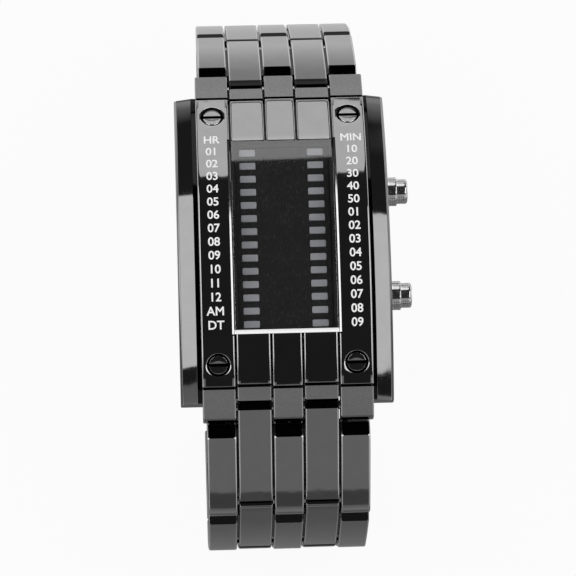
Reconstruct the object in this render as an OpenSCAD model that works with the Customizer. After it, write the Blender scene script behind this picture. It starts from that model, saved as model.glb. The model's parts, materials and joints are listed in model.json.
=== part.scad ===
// Curved metal wristwatch with an LED bar display, two pushers and a closed five-row bracelet.
// Millimetres. The dial faces +Z, 12 o'clock is +Y and the pushers are on +X.
// The watch stands on its closed clasp: z = 0 is the clasp's outer face.

/* [Case] */
// Width of the five-column bezel plate
plate_w = 28.5; // [27:0.1:31]
// Radius of the bezel plate's curve along the wrist
plate_r = 59; // [52:0.5:75]
// Thickness of the bezel plate
plate_t = 2.2; // [1.8:0.1:2.4]
// Half the length of the bezel plate, centre to the bend at the lugs
plate_half = 25.4; // [25:0.1:26.5]
// Width over the two side wings
wing_w = 35.8; // [35:0.1:38]
// Half the length of the side wings
wing_half = 26.7; // [25.8:0.1:28]
// How far the wings lie below the crown of the bezel plate
wing_step = 3.2; // [2.9:0.1:3.6]
// How far the wings fall towards their outer edges
wing_fall = 0.9; // [0.5:0.1:1.1]
// Flat strip between the bezel plate and the sloping part of a wing
wing_strip = 0.8; // [0.4:0.1:1.2]
// Bevel along the outer edge of a wing
wing_bevel = 0.4; // [0.2:0.1:0.6]
// Depth from the crown of the bezel plate to the underside of the case
case_t = 13; // [12.8:0.1:14]

/* [Lugs and bracelet columns] */
// Slope of the lugs below the case plane, in degrees
lug_slope = 27; // [25:1:32]
// Length of the lugs from the bend to the bar
lug_reach = 3.65; // [3.4:0.05:4.2]
// Width of the centre column
centre_w = 4.95; // [4.4:0.05:5.4]
// Width of each middle column
mid_w = 5.65; // [5.2:0.05:6]
// Gap between neighbouring columns
groove_w = 0.3; // [0.2:0.05:0.4]
// Depth of the grooves between fixed columns
groove_d = 0.8; // [0.5:0.1:1]

/* [Links] */
// How much narrower than the bezel plate the links are on each side
link_step = 0.6; // [0.3:0.05:1]
// Distance between the two bars of a link
pitch = 17.2; // [16.6:0.1:18]
// Height of a link's top above its bars
link_top = 2.3; // [2.1:0.05:2.4]
// Depth of a link's underside below its bars
link_under = 2; // [1.8:0.05:2.1]
// Radius of the rounded end of the outer and centre columns
end_r = 2.6; // [2.5:0.05:2.8]
// Running gap around every rounded end
end_gap = 0.25; // [0.2:0.05:0.35]
// Radius of the slight crown of the link tops
crown_r = 90; // [70:5:140]
// Where the front bevel of the outer and centre columns meets the top, from the bar
bevel_s = 4.35; // [4:0.05:4.8]
// Slope of that front bevel, in degrees
bevel_angle = 44; // [40:1:50]
// Radius of the bars
bar_r = 0.75; // [0.6:0.05:0.85]
// Running clearance of the bars, on the radius
bar_fit = 0.05; // [0.03:0.01:0.08]
// How far each bar end lies inside the side of its link
bar_inset = 0.35; // [0.2:0.05:0.6]

/* [Bracelet shape] */
// Slope of the first link on the 6 o'clock side below the case plane, in degrees
low_slope_1 = 36.3; // [32:0.1:40]
// Slope of the second link on that side
low_slope_2 = 80; // [78:0.5:84]
// Slope of the third link on that side
low_slope_3 = 103; // [100:0.1:106]
// Slope of the fourth link on that side
low_slope_4 = 165; // [160:0.5:167]
// Slope of the first link on the 12 o'clock side, in degrees
high_slope_1 = 48.3; // [46:0.1:50]
// Slope of the second link on that side
high_slope_2 = 63.5; // [62:0.5:66]

/* [Window and display] */
// Half the length of the window
window_half = 16.75; // [16.3:0.05:17]
// Radius of the crystal's outer face
crystal_r = 78; // [70:1:100]
// Depth of the crystal's crown below the crown of the bezel plate
crystal_drop = 0.75; // [0.7:0.05:0.9]
// Thickness of the crystal
crystal_t = 1.5; // [1.2:0.1:1.6]
// Clearance around the crystal
crystal_gap = 0.06; // [0.03:0.01:0.1]
// Thickness of the crystal's gasket
gasket_t = 0.3; // [0.2:0.05:0.35]
// Width of the ledge that carries the crystal
ledge_w = 0.7; // [0.6:0.05:1]
// Depth of the display's face below the crown of the bezel plate
display_depth = 4.8; // [4.7:0.05:5]
// Thickness of the display mask
mask_t = 2.1; // [1.8:0.1:2.2]
// Clearance around the display mask
mask_gap = 0.1; // [0.05:0.05:0.2]
// Number of LED bars in each column
led_rows = 14; // [10:1:14]
// Distance from the window's 12 o'clock end to the middle of the first LED bar
led_start = 1.57; // [1.55:0.01:2.5]
// Distance from the last LED bar to the window's 6 o'clock end
led_end = 2.15; // [1.55:0.05:3]
// Distance of each LED column from the centre
led_x = 5.73; // [5:0.01:5.9]
// Length of an LED bar
led_l = 2.7; // [2.2:0.1:3]
// Width of an LED bar
led_w = 1.2; // [0.9:0.05:1.3]
// How far the LED bars stand out of the mask
led_proud = 0.1; // [0.05:0.05:0.2]
// Clearance around an LED bar in the mask
led_gap = 0.03; // [0.02:0.01:0.05]

/* [Inside the case] */
// Half width of the module space
pocket_x = 12.6; // [12.3:0.1:12.8]
// Half length of the module space
pocket_y = 19.3; // [19:0.1:19.4]
// Thickness of the case under the bezel plate
roof_t = 0.9; // [0.8:0.1:1.1]
// Clearance between the module and the case
module_gap = 0.1; // [0.05:0.05:0.2]
// Wall of the module holder at the two ends of the boards
holder_wall = 1.3; // [1:0.1:1.6]
// Clearance around the boards in the holder
board_gap = 0.1; // [0.05:0.05:0.2]
// Thickness of each circuit board
board_t = 0.8; // [0.6:0.1:0.9]
// Gap between the two circuit boards
board_space = 1.2; // [1:0.1:1.3]
// Diameter of a coin cell
cell_d = 16; // [12.5:0.5:16.5]
// Thickness of a coin cell
cell_t = 2; // [1.6:0.1:2]
// Distance of each coin cell from the centre
cell_y = 9.2; // [8.8:0.1:9.6]
// Clearance around a coin cell
cell_gap = 0.1; // [0.05:0.05:0.2]
// Thickness of the battery strap
strap_t = 0.2; // [0.15:0.05:0.25]
// Width of the battery strap
strap_w = 5; // [4:0.5:6]
// How far the battery strap reaches past the middle of each cell
strap_over = 4; // [3:0.5:5]

/* [Case back] */
// Half width of the case back
back_x = 13.9; // [13.7:0.1:14]
// Half length of the case back
back_y = 23.4; // [23:0.1:23.6]
// Thickness of the case back
back_t = 1; // [0.8:0.1:1.2]
// How far the case back stands out of the case
back_proud = 0.3; // [0.1:0.05:0.4]
// Clearance around the case back
back_gap = 0.05; // [0.03:0.01:0.1]
// Width of the case back's gasket
seal_w = 0.5; // [0.4:0.05:0.6]
// Distance from the module space to that gasket
seal_off = 0.2; // [0.15:0.05:0.3]
// Depth of the gasket's groove
seal_d = 0.4; // [0.3:0.05:0.5]
// Distance of the case back's screws from the centre line
back_screw_x = 11.4; // [11:0.1:12]
// Distance of the case back's screws along the watch from the middle
back_screw_y = 22.15; // [22:0.05:22.3]
// Thread radius of the case back's screws
back_screw_r = 0.5; // [0.4:0.05:0.55]
// Head radius of the case back's screws
back_head_r = 0.95; // [0.8:0.05:1]
// Head height of the case back's screws
back_head_t = 0.55; // [0.4:0.05:0.6]
// Length of the case back's screws, head included
back_screw_l = 3; // [2.4:0.1:3.2]
// Depth of their slots
back_slot_d = 0.3; // [0.2:0.05:0.35]

/* [Bezel screws] */
// Distance of the bezel screws from the centre line
screw_x = 11.5; // [11:0.1:11.6]
// Distance of the bezel screws along the plate from the middle
screw_y = 21.6; // [20.6:0.1:22]
// Radius of a bezel screw's head
head_r = 1.65; // [1.4:0.05:1.8]
// Height of a bezel screw's head
head_t = 1; // [0.8:0.1:1.2]
// Thread radius of a bezel screw
thread_r = 0.7; // [0.6:0.05:0.8]
// Length of a bezel screw's thread below the plate
thread_l = 1.4; // [1.1:0.1:1.4]
// Radius of the shallow ring around each bezel screw
ring_r = 2.08; // [1.95:0.01:2.2]
// Depth of that ring
ring_d = 0.3; // [0.2:0.05:0.4]
// Width of every screw slot
slot_w = 0.45; // [0.3:0.05:0.6]
// Depth of every screw slot
slot_d = 0.45; // [0.3:0.05:0.6]
// Clearance of a screw in its hole, on the radius
screw_fit = 0.03; // [0.02:0.01:0.05]
// Clearance at the end of a screw
screw_end = 0.1; // [0.05:0.05:0.15]

/* [Pushers] */
// Distance of each pusher from the middle of the case
pusher_y = 9.1; // [8:0.1:10]
// Depth of the pushers below the crown of the bezel plate
pusher_depth = 9.2; // [9:0.1:9.6]
// Radius of the collar outside the case
collar_r = 2.45; // [2.4:0.05:2.6]
// Length of the collar
collar_l = 1.6; // [1.4:0.1:1.8]
// Thickness of the collar's floor under the pusher's head
cup_floor = 0.3; // [0.2:0.05:0.4]
// Radius of the pusher's head
push_r = 2.1; // [2:0.05:2.15]
// How far the head stands out of the collar
push_out = 1.85; // [1.5:0.05:2]
// Travel of a pusher
push_travel = 0.8; // [0.5:0.05:0.85]
// Radius of the pusher's stem
stem_r = 0.9; // [0.7:0.05:1]
// Radius of the tube that holds the stem
tube_r = 1.5; // [1.45:0.05:1.7]
// Running clearance of the pushers, on the radius
push_fit = 0.06; // [0.04:0.01:0.09]
// Free play between a pusher, its springs and its clip
push_play = 0.05; // [0.03:0.01:0.08]
// Inner radius of the pusher's spring
spring_in = 1.12; // [1.1:0.01:1.15]
// Outer radius of the pusher's spring
spring_out = 1.6; // [1.4:0.05:1.7]
// How deep the spring sits in the pusher's head
spring_well = 1.2; // [1:0.1:1.4]
// Thickness of the pusher's clip
clip_t = 0.3; // [0.2:0.05:0.35]
// Radius of the pusher's clip
clip_r = 1.5; // [1.3:0.05:1.6]
// Thickness of the pusher's sealing ring
ring_t = 0.34; // [0.3:0.02:0.4]

/* [Clasp] */
// How much shorter the clasp is between its end bars than the bezel plate
clasp_less = 6.4; // [5.5:0.1:7.5]
// Height of those bars above the clasp's outer face
clasp_bar_h = 2.9; // [2.8:0.05:3.1]
// Width of the clasp cover
cover_w = 21; // [20.6:0.1:22]
// Thickness of the clasp cover
cover_t = 0.9; // [0.7:0.05:1]
// Height of the cover's side walls
cover_h = 5; // [4.9:0.1:5.4]
// Gap between the clasp cover and the end links
cover_end = 3.1; // [3:0.05:3.3]
// Thickness of the clasp blades
blade_t = 0.8; // [0.6:0.05:0.9]
// Half width of the middle blade
blade_x = 6.3; // [5.8:0.1:6.4]
// Distance of the first fold from the 6 o'clock bar
fold_low = 7.8; // [7.6:0.1:8.6]
// Distance of the second fold from the 12 o'clock bar
fold_high = 7; // [6.6:0.1:7.6]
// Height of the folds above the clasp's outer face
fold_h = 2.35; // [2.3:0.05:2.4]
// Radius of the blade eyes
eye_r = 1.25; // [1.15:0.05:1.25]
// Radius of the fold pins
fold_pin_r = 0.6; // [0.5:0.05:0.65]
// Travel of a clasp button
latch_travel = 0.4; // [0.3:0.05:0.4]
// Thickness of the clasp's walls
wall_t = 1; // [0.8:0.1:1.2]
// Height of the clasp buttons' axis
button_z = 2.3; // [2.1:0.05:2.5]
// Radius of a clasp button's shaft
button_r = 0.5; // [0.4:0.05:0.55]
// Outer radius of a clasp button's spring
latch_spring_r = 0.75; // [0.7:0.05:0.85]

/* [Hidden] */

$fn = 64;
gunmetal = "#3c3c40";
steel = "#9a9a9e";
cut = 30;

// Columns, measured from the centre line
mid_in = centre_w / 2 + groove_w;
mid_out = mid_in + mid_w;
outer_in = mid_out + groove_w;
link_w = plate_w - 2 * link_step;

// Lug bar, from the bend of the bezel plate: distance out and height in the case's own frame
bend_z = sqrt(plate_r * plate_r - plate_half * plate_half) - plate_r;
lug_bar = [plate_half + lug_reach * cos(lug_slope) - link_top * sin(lug_slope),
    bend_z - lug_reach * sin(lug_slope) - link_top * cos(lug_slope)];

// Bars of the two chains, as distance out from the case centre and height
function next_bar(p, slope) = [p[0] + pitch * cos(slope), p[1] - pitch * sin(slope)];
low_slopes = [low_slope_1, low_slope_2, low_slope_3, low_slope_4];
low_1 = next_bar(lug_bar, low_slope_1);
low_2 = next_bar(low_1, low_slope_2);
low_3 = next_bar(low_2, low_slope_3);
low_4 = next_bar(low_3, low_slope_4);
low_bars = [lug_bar, low_1, low_2, low_3, low_4];
clasp_len = 2 * plate_half - clasp_less;
high_1 = next_bar(lug_bar, high_slope_1);
high_2 = next_bar(high_1, high_slope_2);
high_4 = [clasp_len - low_4[0], low_4[1]];
// The third and fourth links close the triangle between the second link and the clasp
span_v = high_4 - high_2;
span_d = norm(span_v);
knee = sqrt(pitch * pitch - span_d * span_d / 4);
high_3 = high_2 + span_v / 2 + knee * [-span_v[1], span_v[0]] / span_d;
high_bars = [lug_bar, high_1, high_2, high_3, high_4];
high_slopes = [high_slope_1, high_slope_2, atan2(high_2[1] - high_3[1], high_3[0] - high_2[0]),
    atan2(high_3[1] - high_4[1], high_4[0] - high_3[0])];

// Where the case stands over the clasp
case_y = low_4[0] - clasp_len / 2;
case_z = clasp_bar_h - low_4[1];
echo(case_y = case_y, case_z = case_z, lug_bar = lug_bar, low_bars = low_bars, high_bars = high_bars);
echo(high_slopes = high_slopes);

// The window is as wide as the middle and centre columns with their gaps
window_w = 2 * outer_in;
led_pitch = (2 * window_half - led_start - led_end) / (led_rows - 1);

// Pushers, outwards from the case wall at x = wing_w / 2
wall_x = wing_w / 2;
cup_x = wall_x + cup_floor;
head_x = cup_x + push_travel + push_play;
tip_x = wall_x + collar_l + push_out;
tube_in = pocket_x - module_gap;
clip_x = tube_in - clip_t - push_play;
clip_groove_r = stem_r - 0.3;
stem_in = clip_x - 0.35;
seal_x = (tube_in + wall_x) / 2;
spring_x = head_x + spring_well;

// Levels inside the case, downwards from the crown of the bezel plate
mask_z = -display_depth - mask_t;
led_board_z = mask_z - board_t;
main_board_z = led_board_z - board_space - board_t;
cell_z = main_board_z - cell_t;
strap_z = cell_z - strap_t;
holder_x = pocket_x - module_gap;
holder_y = pocket_y - module_gap;
// The boards end just short of the pushers when these are pressed
board_x = stem_in - push_travel - push_play;
board_y = holder_y - holder_wall - board_gap;
strap_half = cell_y + strap_over;
strap_gap = 0.2;
back_z = back_t - back_proud - case_t;
back_out_z = -case_t - back_proud;
back_screw_z = back_out_z + 0.05;
seat_gap = 0.01;

// Clasp, in its own frame with its middle at y = 0
end_low = -clasp_len / 2;
end_high = clasp_len / 2;
fold_low_y = end_low + fold_low;
fold_high_y = end_high - fold_high;
eye_gap = 0.3;
blade_gap = 0.1;
side_gap = 0.2;
inner_z = fold_h + eye_r + blade_gap;
ear_in = 4.5;
knuckle_x = ear_in - side_gap;
wall_in = cover_w / 2 - wall_t;
bracket_t = 0.5;
bracket_x = blade_x + 0.4;
catch_t = 0.5;
collar_in = wall_in - catch_t - push_play;

// Extrude a side profile, drawn as distance along Y and height, from x0 to x1
module span(x0, x1) {
    translate([x0, 0, 0]) rotate([90, 0, 90]) linear_extrude(x1 - x0) children();
}

// The outer and centre columns of a part of width w
module three_columns(w) {
    span(-w / 2, -outer_in) children();
    span(-centre_w / 2, centre_w / 2) children();
    span(outer_in, w / 2) children();
}

// The two middle columns
module two_columns() {
    span(mid_in, mid_out) children();
    span(-mid_out, -mid_in) children();
}

// A cylinder along X
module bar(r, l, x = 0) {
    translate([x - l / 2, 0, 0]) rotate([0, 90, 0]) cylinder(r = r, h = l);
}

// Grooves between the columns, cut down from the height z
module grooves(y0, y1, depth) {
    for (s = [-1, 1], x = [centre_w / 2, mid_out])
        translate([s > 0 ? x : -x - groove_w, y0, -depth]) cube([groove_w, y1 - y0, cut]);
}

// Put something in the frame of the case
module at_case() {
    translate([0, case_y, case_z]) children();
}

// Put something in the frame of a chain member: y runs along it, z out of it
module at_bar(side, p, slope) {
    at_case() rotate([0, 0, side > 0 ? 0 : 180]) translate([0, p[0], p[1]]) rotate([-slope, 0, 0]) children();
}

// Put something on the bezel plate, upright on its surface at the bezel screws
module at_screws() {
    tilt = asin(screw_y / plate_r);
    for (s = [-1, 1], x = [-screw_x, screw_x])
        translate([0, 0, -plate_r]) rotate([-s * tilt, 0, 0]) translate([x, 0, plate_r]) children();
}

// The circle of the bezel plate in a side profile, r1 inside its surface
module plate_circle(r1) {
    translate([0, -plate_r]) circle(r = plate_r - r1, $fn = 240);
}

// The five-column lug end in a side profile, from the bend to the bar
module lug_base_profile(from) {
    difference() {
        translate([-lug_reach - from, -link_under]) square([lug_reach + from, link_under + link_top]);
        circle(r = end_r + end_gap);
    }
}

module lug_end_profile() {
    intersection() {
        union() {
            circle(r = end_r);
            translate([-lug_reach, -end_r]) square([lug_reach, 2 * end_r]);
        }
        translate([-lug_reach, -link_under]) square([lug_reach + end_r, link_under + link_top]);
    }
}

// The wings and the sides of the case as one ring section around the plate's axis
module wing_ring() {
    half = wing_w / 2;
    strip = plate_w / 2 + wing_strip;
    inner = plate_r - wing_step;
    outer = inner - wing_fall;
    edge = outer - wing_bevel;
    low = plate_r - case_t - 4;
    translate([0, 0, -plate_r]) rotate([0, 90, 0]) rotate_extrude($fn = 240)
        polygon([[low, -half], [edge, -half], [outer, -half + wing_bevel], [inner, -strip],
            [inner, strip], [outer, half - wing_bevel], [edge, half], [low, half]]);
}

module case_solid() {
    intersection() {
        wing_ring();
        translate([-wing_w / 2, -wing_half, -case_t]) cube([wing_w, 2 * wing_half, case_t]);
    }
    span(-plate_w / 2, plate_w / 2) intersection() {
        plate_circle(plate_t);
        translate([-plate_half, -case_t]) square([2 * plate_half, case_t]);
    }
    for (side = [0, 180]) rotate([0, 0, side]) translate([0, lug_bar[0], lug_bar[1]])
        rotate([-lug_slope, 0, 0]) {
            span(-plate_w / 2, plate_w / 2) lug_base_profile(0);
            three_columns(plate_w) lug_end_profile();
        }
}

// What the two lug ends need clear: the links' middle columns, the grooves and the bar
module lug_clearance() {
    for (side = [0, 180]) rotate([0, 0, side]) translate([0, lug_bar[0], lug_bar[1]])
        rotate([-lug_slope, 0, 0]) {
            span(mid_in - groove_w, mid_out + groove_w) circle(r = end_r + end_gap);
            span(-mid_out - groove_w, -mid_in + groove_w) circle(r = end_r + end_gap);
            translate([0, 0, link_top]) grooves(-lug_reach - 1, 0, groove_d);
            bar(bar_r + bar_fit, plate_w + 2);
        }
}

module case_body() {
    at_case() color(gunmetal) difference() {
        case_solid();
        lug_clearance();
        // Space for the module, open at the back
        span(-pocket_x, pocket_x) intersection() {
            plate_circle(plate_t + roof_t);
            translate([-pocket_y, -cut]) square([2 * pocket_y, cut]);
        }
        // Window, and the ledge that carries the crystal
        translate([-window_w / 2 + ledge_w, -window_half + ledge_w, -cut])
            cube([window_w - 2 * ledge_w, 2 * (window_half - ledge_w), 2 * cut]);
        span(-window_w / 2, window_w / 2) difference() {
            translate([-window_half, -case_t]) square([2 * window_half, case_t]);
            crystal_circle(crystal_t + gasket_t);
            translate([-window_half, -case_t]) square([2 * window_half, case_t / 2]);
        }
        // Recess and gasket groove for the case back
        translate([-back_x, -back_y, -case_t - 1]) cube([2 * back_x, 2 * back_y, back_z + case_t + 1]);
        translate([0, 0, back_z - 1]) seal_frame(seal_d + 1, 0);
        at_back_screws() translate([0, 0, back_screw_z])
            cylinder(r = back_screw_r + screw_fit, h = back_screw_l + screw_end);
        at_screws() translate([0, 0, -plate_t - thread_l - screw_end])
            cylinder(r = thread_r + screw_fit, h = cut);
        at_pushers() bar(tube_r + seat_gap, 2 * (wall_x - tube_in) + 2, wall_x);
    }
}

module crystal_circle(r1) {
    translate([0, -crystal_drop - crystal_r]) circle(r = crystal_r - r1, $fn = 240);
}

module at_back_screws() {
    for (s = [-1, 1], t = [-1, 1]) translate([s * back_screw_x, t * back_screw_y, 0]) children();
}

module at_pushers() {
    for (s = [-1, 1]) translate([0, s * pusher_y, -pusher_depth]) children();
}

module at_pusher(s) {
    at_case() translate([0, s * pusher_y, -pusher_depth]) children();
}

// Flat frame that follows the edge of the module space
module seal_frame(h, gap) {
    x = pocket_x + seal_off + gap;
    y = pocket_y + seal_off + gap;
    w = seal_w - 2 * gap;
    difference() {
        translate([-x - w, -y - w, 0]) cube([2 * (x + w), 2 * (y + w), h]);
        translate([-x, -y, -1]) cube([2 * x, 2 * y, h + 2]);
    }
}

module bezel_plate() {
    at_case() color(gunmetal) difference() {
        span(-plate_w / 2, plate_w / 2) difference() {
            plate_circle(0);
            plate_circle(plate_t);
            translate([-cut * 3, -6 * cut]) square([6 * cut, 6 * cut - case_t]);
            for (s = [0, 1]) mirror([s, 0]) translate([lug_bar[0], lug_bar[1]]) rotate(-lug_slope)
                translate([-lug_reach, -cut]) square([cut * 2, cut * 2]);
        }
        translate([-window_w / 2, -window_half, -cut]) cube([window_w, 2 * window_half, 2 * cut]);
        plate_grooves();
        at_screws() {
            translate([0, 0, -ring_d]) cylinder(r = ring_r, h = cut);
            translate([0, 0, -ring_d - head_t - seat_gap]) cylinder(r = head_r + screw_fit, h = cut);
            translate([0, 0, -plate_t - 1]) cylinder(r = thread_r + screw_fit, h = cut);
        }
    }
}

// Grooves of even depth along the curved plate
module plate_grooves() {
    for (s = [-1, 1], x = [centre_w / 2, mid_out])
        span(s > 0 ? x : -x - groove_w, s > 0 ? x + groove_w : -x) difference() {
            plate_circle(-2);
            plate_circle(groove_d);
            translate([-cut, -3 * cut]) square([2 * cut, 3 * cut - case_t]);
        }
}

module bezel_screws() {
    at_case() color(steel) at_screws() difference() {
        union() {
            translate([0, 0, -ring_d - head_t]) cylinder(r = head_r, h = head_t);
            translate([0, 0, -plate_t - thread_l])
                cylinder(r = thread_r, h = thread_l + plate_t - ring_d - head_t);
        }
        translate([-2 * head_r, -slot_w / 2, -ring_d - slot_d]) cube([4 * head_r, slot_w, cut]);
    }
}

module crystal() {
    at_case() color("#5a646e", 0.35) span(-window_w / 2 + crystal_gap, window_w / 2 - crystal_gap)
        crystal_profile(0, crystal_t, window_half - crystal_gap);
}

module crystal_profile(r1, r2, half) {
    difference() {
        crystal_circle(r1);
        crystal_circle(r2);
        translate([-3 * cut, -8 * cut]) square([6 * cut, 8 * cut - case_t]);
        for (s = [-1, 1]) translate([s > 0 ? half : -half - 6 * cut, -6 * cut]) square([6 * cut, 12 * cut]);
    }
}

module crystal_gasket() {
    at_case() color("#202020") difference() {
        span(-window_w / 2 + crystal_gap, window_w / 2 - crystal_gap)
            crystal_profile(crystal_t, crystal_t + gasket_t, window_half - crystal_gap);
        translate([-window_w / 2 + ledge_w, -window_half + ledge_w, -cut])
            cube([window_w - 2 * ledge_w, 2 * (window_half - ledge_w), 2 * cut]);
    }
}

// Put something at each LED bar
module at_leds() {
    for (s = [-1, 1], i = [0:led_rows - 1])
        translate([s * led_x, window_half - led_start - i * led_pitch, 0]) children();
}

module display_mask() {
    x = window_w / 2 - ledge_w - mask_gap;
    y = window_half - ledge_w - mask_gap;
    at_case() color("#17181a") difference() {
        translate([-x, -y, mask_z]) cube([2 * x, 2 * y, mask_t]);
        at_leds() translate([-led_l / 2 - led_gap, -led_w / 2 - led_gap, mask_z - 1])
            cube([led_l + 2 * led_gap, led_w + 2 * led_gap, mask_t + 2]);
    }
}

module led_bars() {
    at_case() color("#7c7c86") at_leds() translate([-led_l / 2, -led_w / 2, mask_z])
        cube([led_l, led_w, mask_t + led_proud]);
}

// A circuit board with its top at the height z
module board(z, x, y, t) {
    translate([-x, -y, z]) cube([2 * x, 2 * y, t]);
}

module led_board() {
    at_case() color("#1d5a34") board(led_board_z, board_x, board_y, board_t);
}

module main_board() {
    at_case() color("#1d5a34") board(main_board_z, board_x, board_y, board_t);
}

// Controller, crystal can, capacitors and the two switches that the pushers work
module board_components() {
    chip_w = 8;
    can = [2, 6];
    capacitor = [1.2, 1.9];
    switch = [2, 4];
    h = board_space - 0.3;
    at_case() color("#26262a") translate([0, 0, main_board_z + board_t]) {
        translate([-chip_w / 2, -chip_w / 2, 0]) cube([chip_w, chip_w, h]);
        translate([-chip_w, chip_w / 2 + 3, 0]) cube([can[0], can[1], h]);
        for (i = [0:2]) translate([chip_w / 2, -chip_w - 3 * i, 0]) cube([capacitor[0], capacitor[1], h]);
        for (s = [-1, 1]) translate([board_x - switch[0] - board_gap, s * pusher_y - switch[1] / 2, 0])
            cube([switch[0], switch[1], h]);
    }
}

module module_holder() {
    floor_z = strap_z - module_gap;
    notch = 2 * clip_r + 2;
    at_case() color("#d8d6ce") difference() {
        translate([-holder_x, -holder_y, floor_z]) cube([2 * holder_x, 2 * holder_y, mask_z - floor_z]);
        translate([-board_x - board_gap, -board_y - board_gap, main_board_z])
            cube([2 * (board_x + board_gap), 2 * (board_y + board_gap), cut]);
        for (s = [-1, 1]) translate([0, s * cell_y, -cut]) cylinder(r = cell_d / 2 + cell_gap, h = cut);
        translate([-strap_w / 2 - strap_gap, -strap_half - strap_gap, -cut])
            cube([strap_w + 2 * strap_gap, 2 * (strap_half + strap_gap), cut + cell_z]);
        // Room for the inner ends of the pushers
        at_pushers() translate([board_x - 2 * module_gap, -notch / 2, -notch / 2]) cube([cut, notch, notch]);
        // The top edge follows the roof of the module space
        span(-cut, cut) difference() {
            translate([-cut, -case_t]) square([2 * cut, case_t]);
            plate_circle(plate_t + roof_t + module_gap);
        }
    }
}

// A coin cell with its smaller negative face upwards
module coin_cell(s) {
    step = 0.4;
    rim = 0.8;
    at_case() color("silver") translate([0, s * cell_y, cell_z]) {
        cylinder(r = cell_d / 2, h = cell_t - step);
        cylinder(r = cell_d / 2 - rim, h = cell_t);
    }
}

module coin_cell_upper() { coin_cell(1); }
module coin_cell_lower() { coin_cell(-1); }

module battery_strap() {
    at_case() color("#c9b37a") translate([-strap_w / 2, -strap_half, strap_z])
        cube([strap_w, 2 * strap_half, strap_t]);
}

module case_back() {
    x = back_x - back_gap;
    y = back_y - back_gap;
    at_case() color(steel) difference() {
        translate([-x, -y, back_out_z]) cube([2 * x, 2 * y, back_t]);
        at_back_screws() {
            translate([0, 0, -cut]) cylinder(r = back_screw_r + screw_fit, h = cut);
            translate([0, 0, back_screw_z + back_head_t - cut])
                cylinder(r = back_head_r + screw_fit, h = cut);
        }
    }
}

module case_back_gasket() {
    at_case() color("#202020") translate([0, 0, back_z]) seal_frame(seal_d - 0.05, 0.02);
}

module case_back_screws() {
    at_case() color(steel) at_back_screws() difference() {
        translate([0, 0, back_screw_z]) {
            cylinder(r = back_head_r, h = back_head_t);
            cylinder(r = back_screw_r, h = back_screw_l);
        }
        translate([-2 * back_head_r, -slot_w / 2, back_screw_z - 1])
            cube([4 * back_head_r, slot_w, back_slot_d + 1]);
    }
}

// A ring along X: inner radius, outer radius, start and end
module sleeve(r1, r2, x0, x1) {
    translate([x0, 0, 0]) rotate([0, 90, 0]) difference() {
        cylinder(r = r2, h = x1 - x0);
        translate([0, 0, -1]) cylinder(r = r1, h = x1 - x0 + 2);
    }
}

module pusher_tube(s) {
    at_pusher(s) color(gunmetal) difference() {
        union() {
            bar(tube_r, wall_x - tube_in, (wall_x + tube_in) / 2);
            bar(collar_r, collar_l, wall_x + collar_l / 2);
        }
        bar(stem_r + push_fit, cut, wall_x);
        bar(push_r + push_fit, cut, cup_x + cut / 2);
        bar(stem_r + ring_t + seat_gap, 2 * ring_t, seal_x);
    }
}

module pusher(s) {
    at_pusher(s) color(gunmetal) difference() {
        union() {
            bar(stem_r, head_x + 1 - stem_in, (head_x + 1 + stem_in) / 2);
            bar(push_r, tip_x - head_x, (tip_x + head_x) / 2);
        }
        sleeve(spring_in - push_fit, spring_out + push_fit, head_x - 1, spring_x);
        sleeve(clip_groove_r, 2 * stem_r, clip_x, clip_x + clip_t);
    }
}

module pusher_spring(s) {
    at_pusher(s) color(steel) sleeve(spring_in, spring_out, cup_x, spring_x);
}

module pusher_seal(s) {
    at_pusher(s) color("#202020") translate([seal_x, 0, 0]) rotate([0, 90, 0])
        rotate_extrude($fn = 48) translate([stem_r + ring_t / 2 + seat_gap / 2, 0])
            circle(r = (ring_t - seat_gap) / 2, $fn = 16);
}

module pusher_clip(s) {
    at_pusher(s) color(steel) sleeve(clip_groove_r, clip_r, clip_x + seat_gap, clip_x + clip_t - seat_gap);
}

module pusher_tube_upper() { pusher_tube(1); }
module pusher_tube_lower() { pusher_tube(-1); }
module pusher_upper() { pusher(1); }
module pusher_lower() { pusher(-1); }
module pusher_spring_upper() { pusher_spring(1); }
module pusher_spring_lower() { pusher_spring(-1); }
module pusher_seal_upper() { pusher_seal(1); }
module pusher_seal_lower() { pusher_seal(-1); }
module pusher_clip_upper() { pusher_clip(1); }
module pusher_clip_lower() { pusher_clip(-1); }

// Side profile shared by all columns of a link: flat underside, slightly crowned top
module link_band() {
    sag = crown_r - sqrt(crown_r * crown_r - pitch * pitch / 4);
    intersection() {
        translate([-cut, -link_under]) square([2 * cut, cut]);
        translate([pitch / 2, link_top + sag - crown_r]) circle(r = crown_r, $fn = 240);
    }
}

// Outer and centre columns: front bevel, then the top, then the round end over the next bar
module far_profile() {
    edge = link_top + 0.2;
    rise = tan(bevel_angle);
    difference() {
        intersection() {
            link_band();
            union() {
                translate([0, -cut]) square([pitch, 2 * cut]);
                translate([pitch, 0]) circle(r = end_r);
            }
        }
        circle(r = end_r + end_gap);
        polygon([[bevel_s + end_r, edge + end_r * rise], [bevel_s - 2 * end_r, edge - 2 * end_r * rise],
            [bevel_s - 2 * end_r, edge + end_r * rise]]);
    }
}

// Middle columns: round end on the first bar, hollowed end in front of the next
module mid_profile() {
    difference() {
        intersection() {
            link_band();
            union() {
                circle(r = link_top);
                translate([0, -cut]) square([pitch, 2 * cut]);
            }
        }
        translate([pitch, 0]) circle(r = link_top + end_gap);
    }
}

// The web that joins a link's columns, hidden below their tops
module core_profile() {
    wall = 0.4;
    start = end_r + end_gap + wall;
    end = pitch - link_top - end_gap - wall;
    translate([start, wall - link_under]) square([end - start, link_under + link_top - wall - groove_d]);
}

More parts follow.
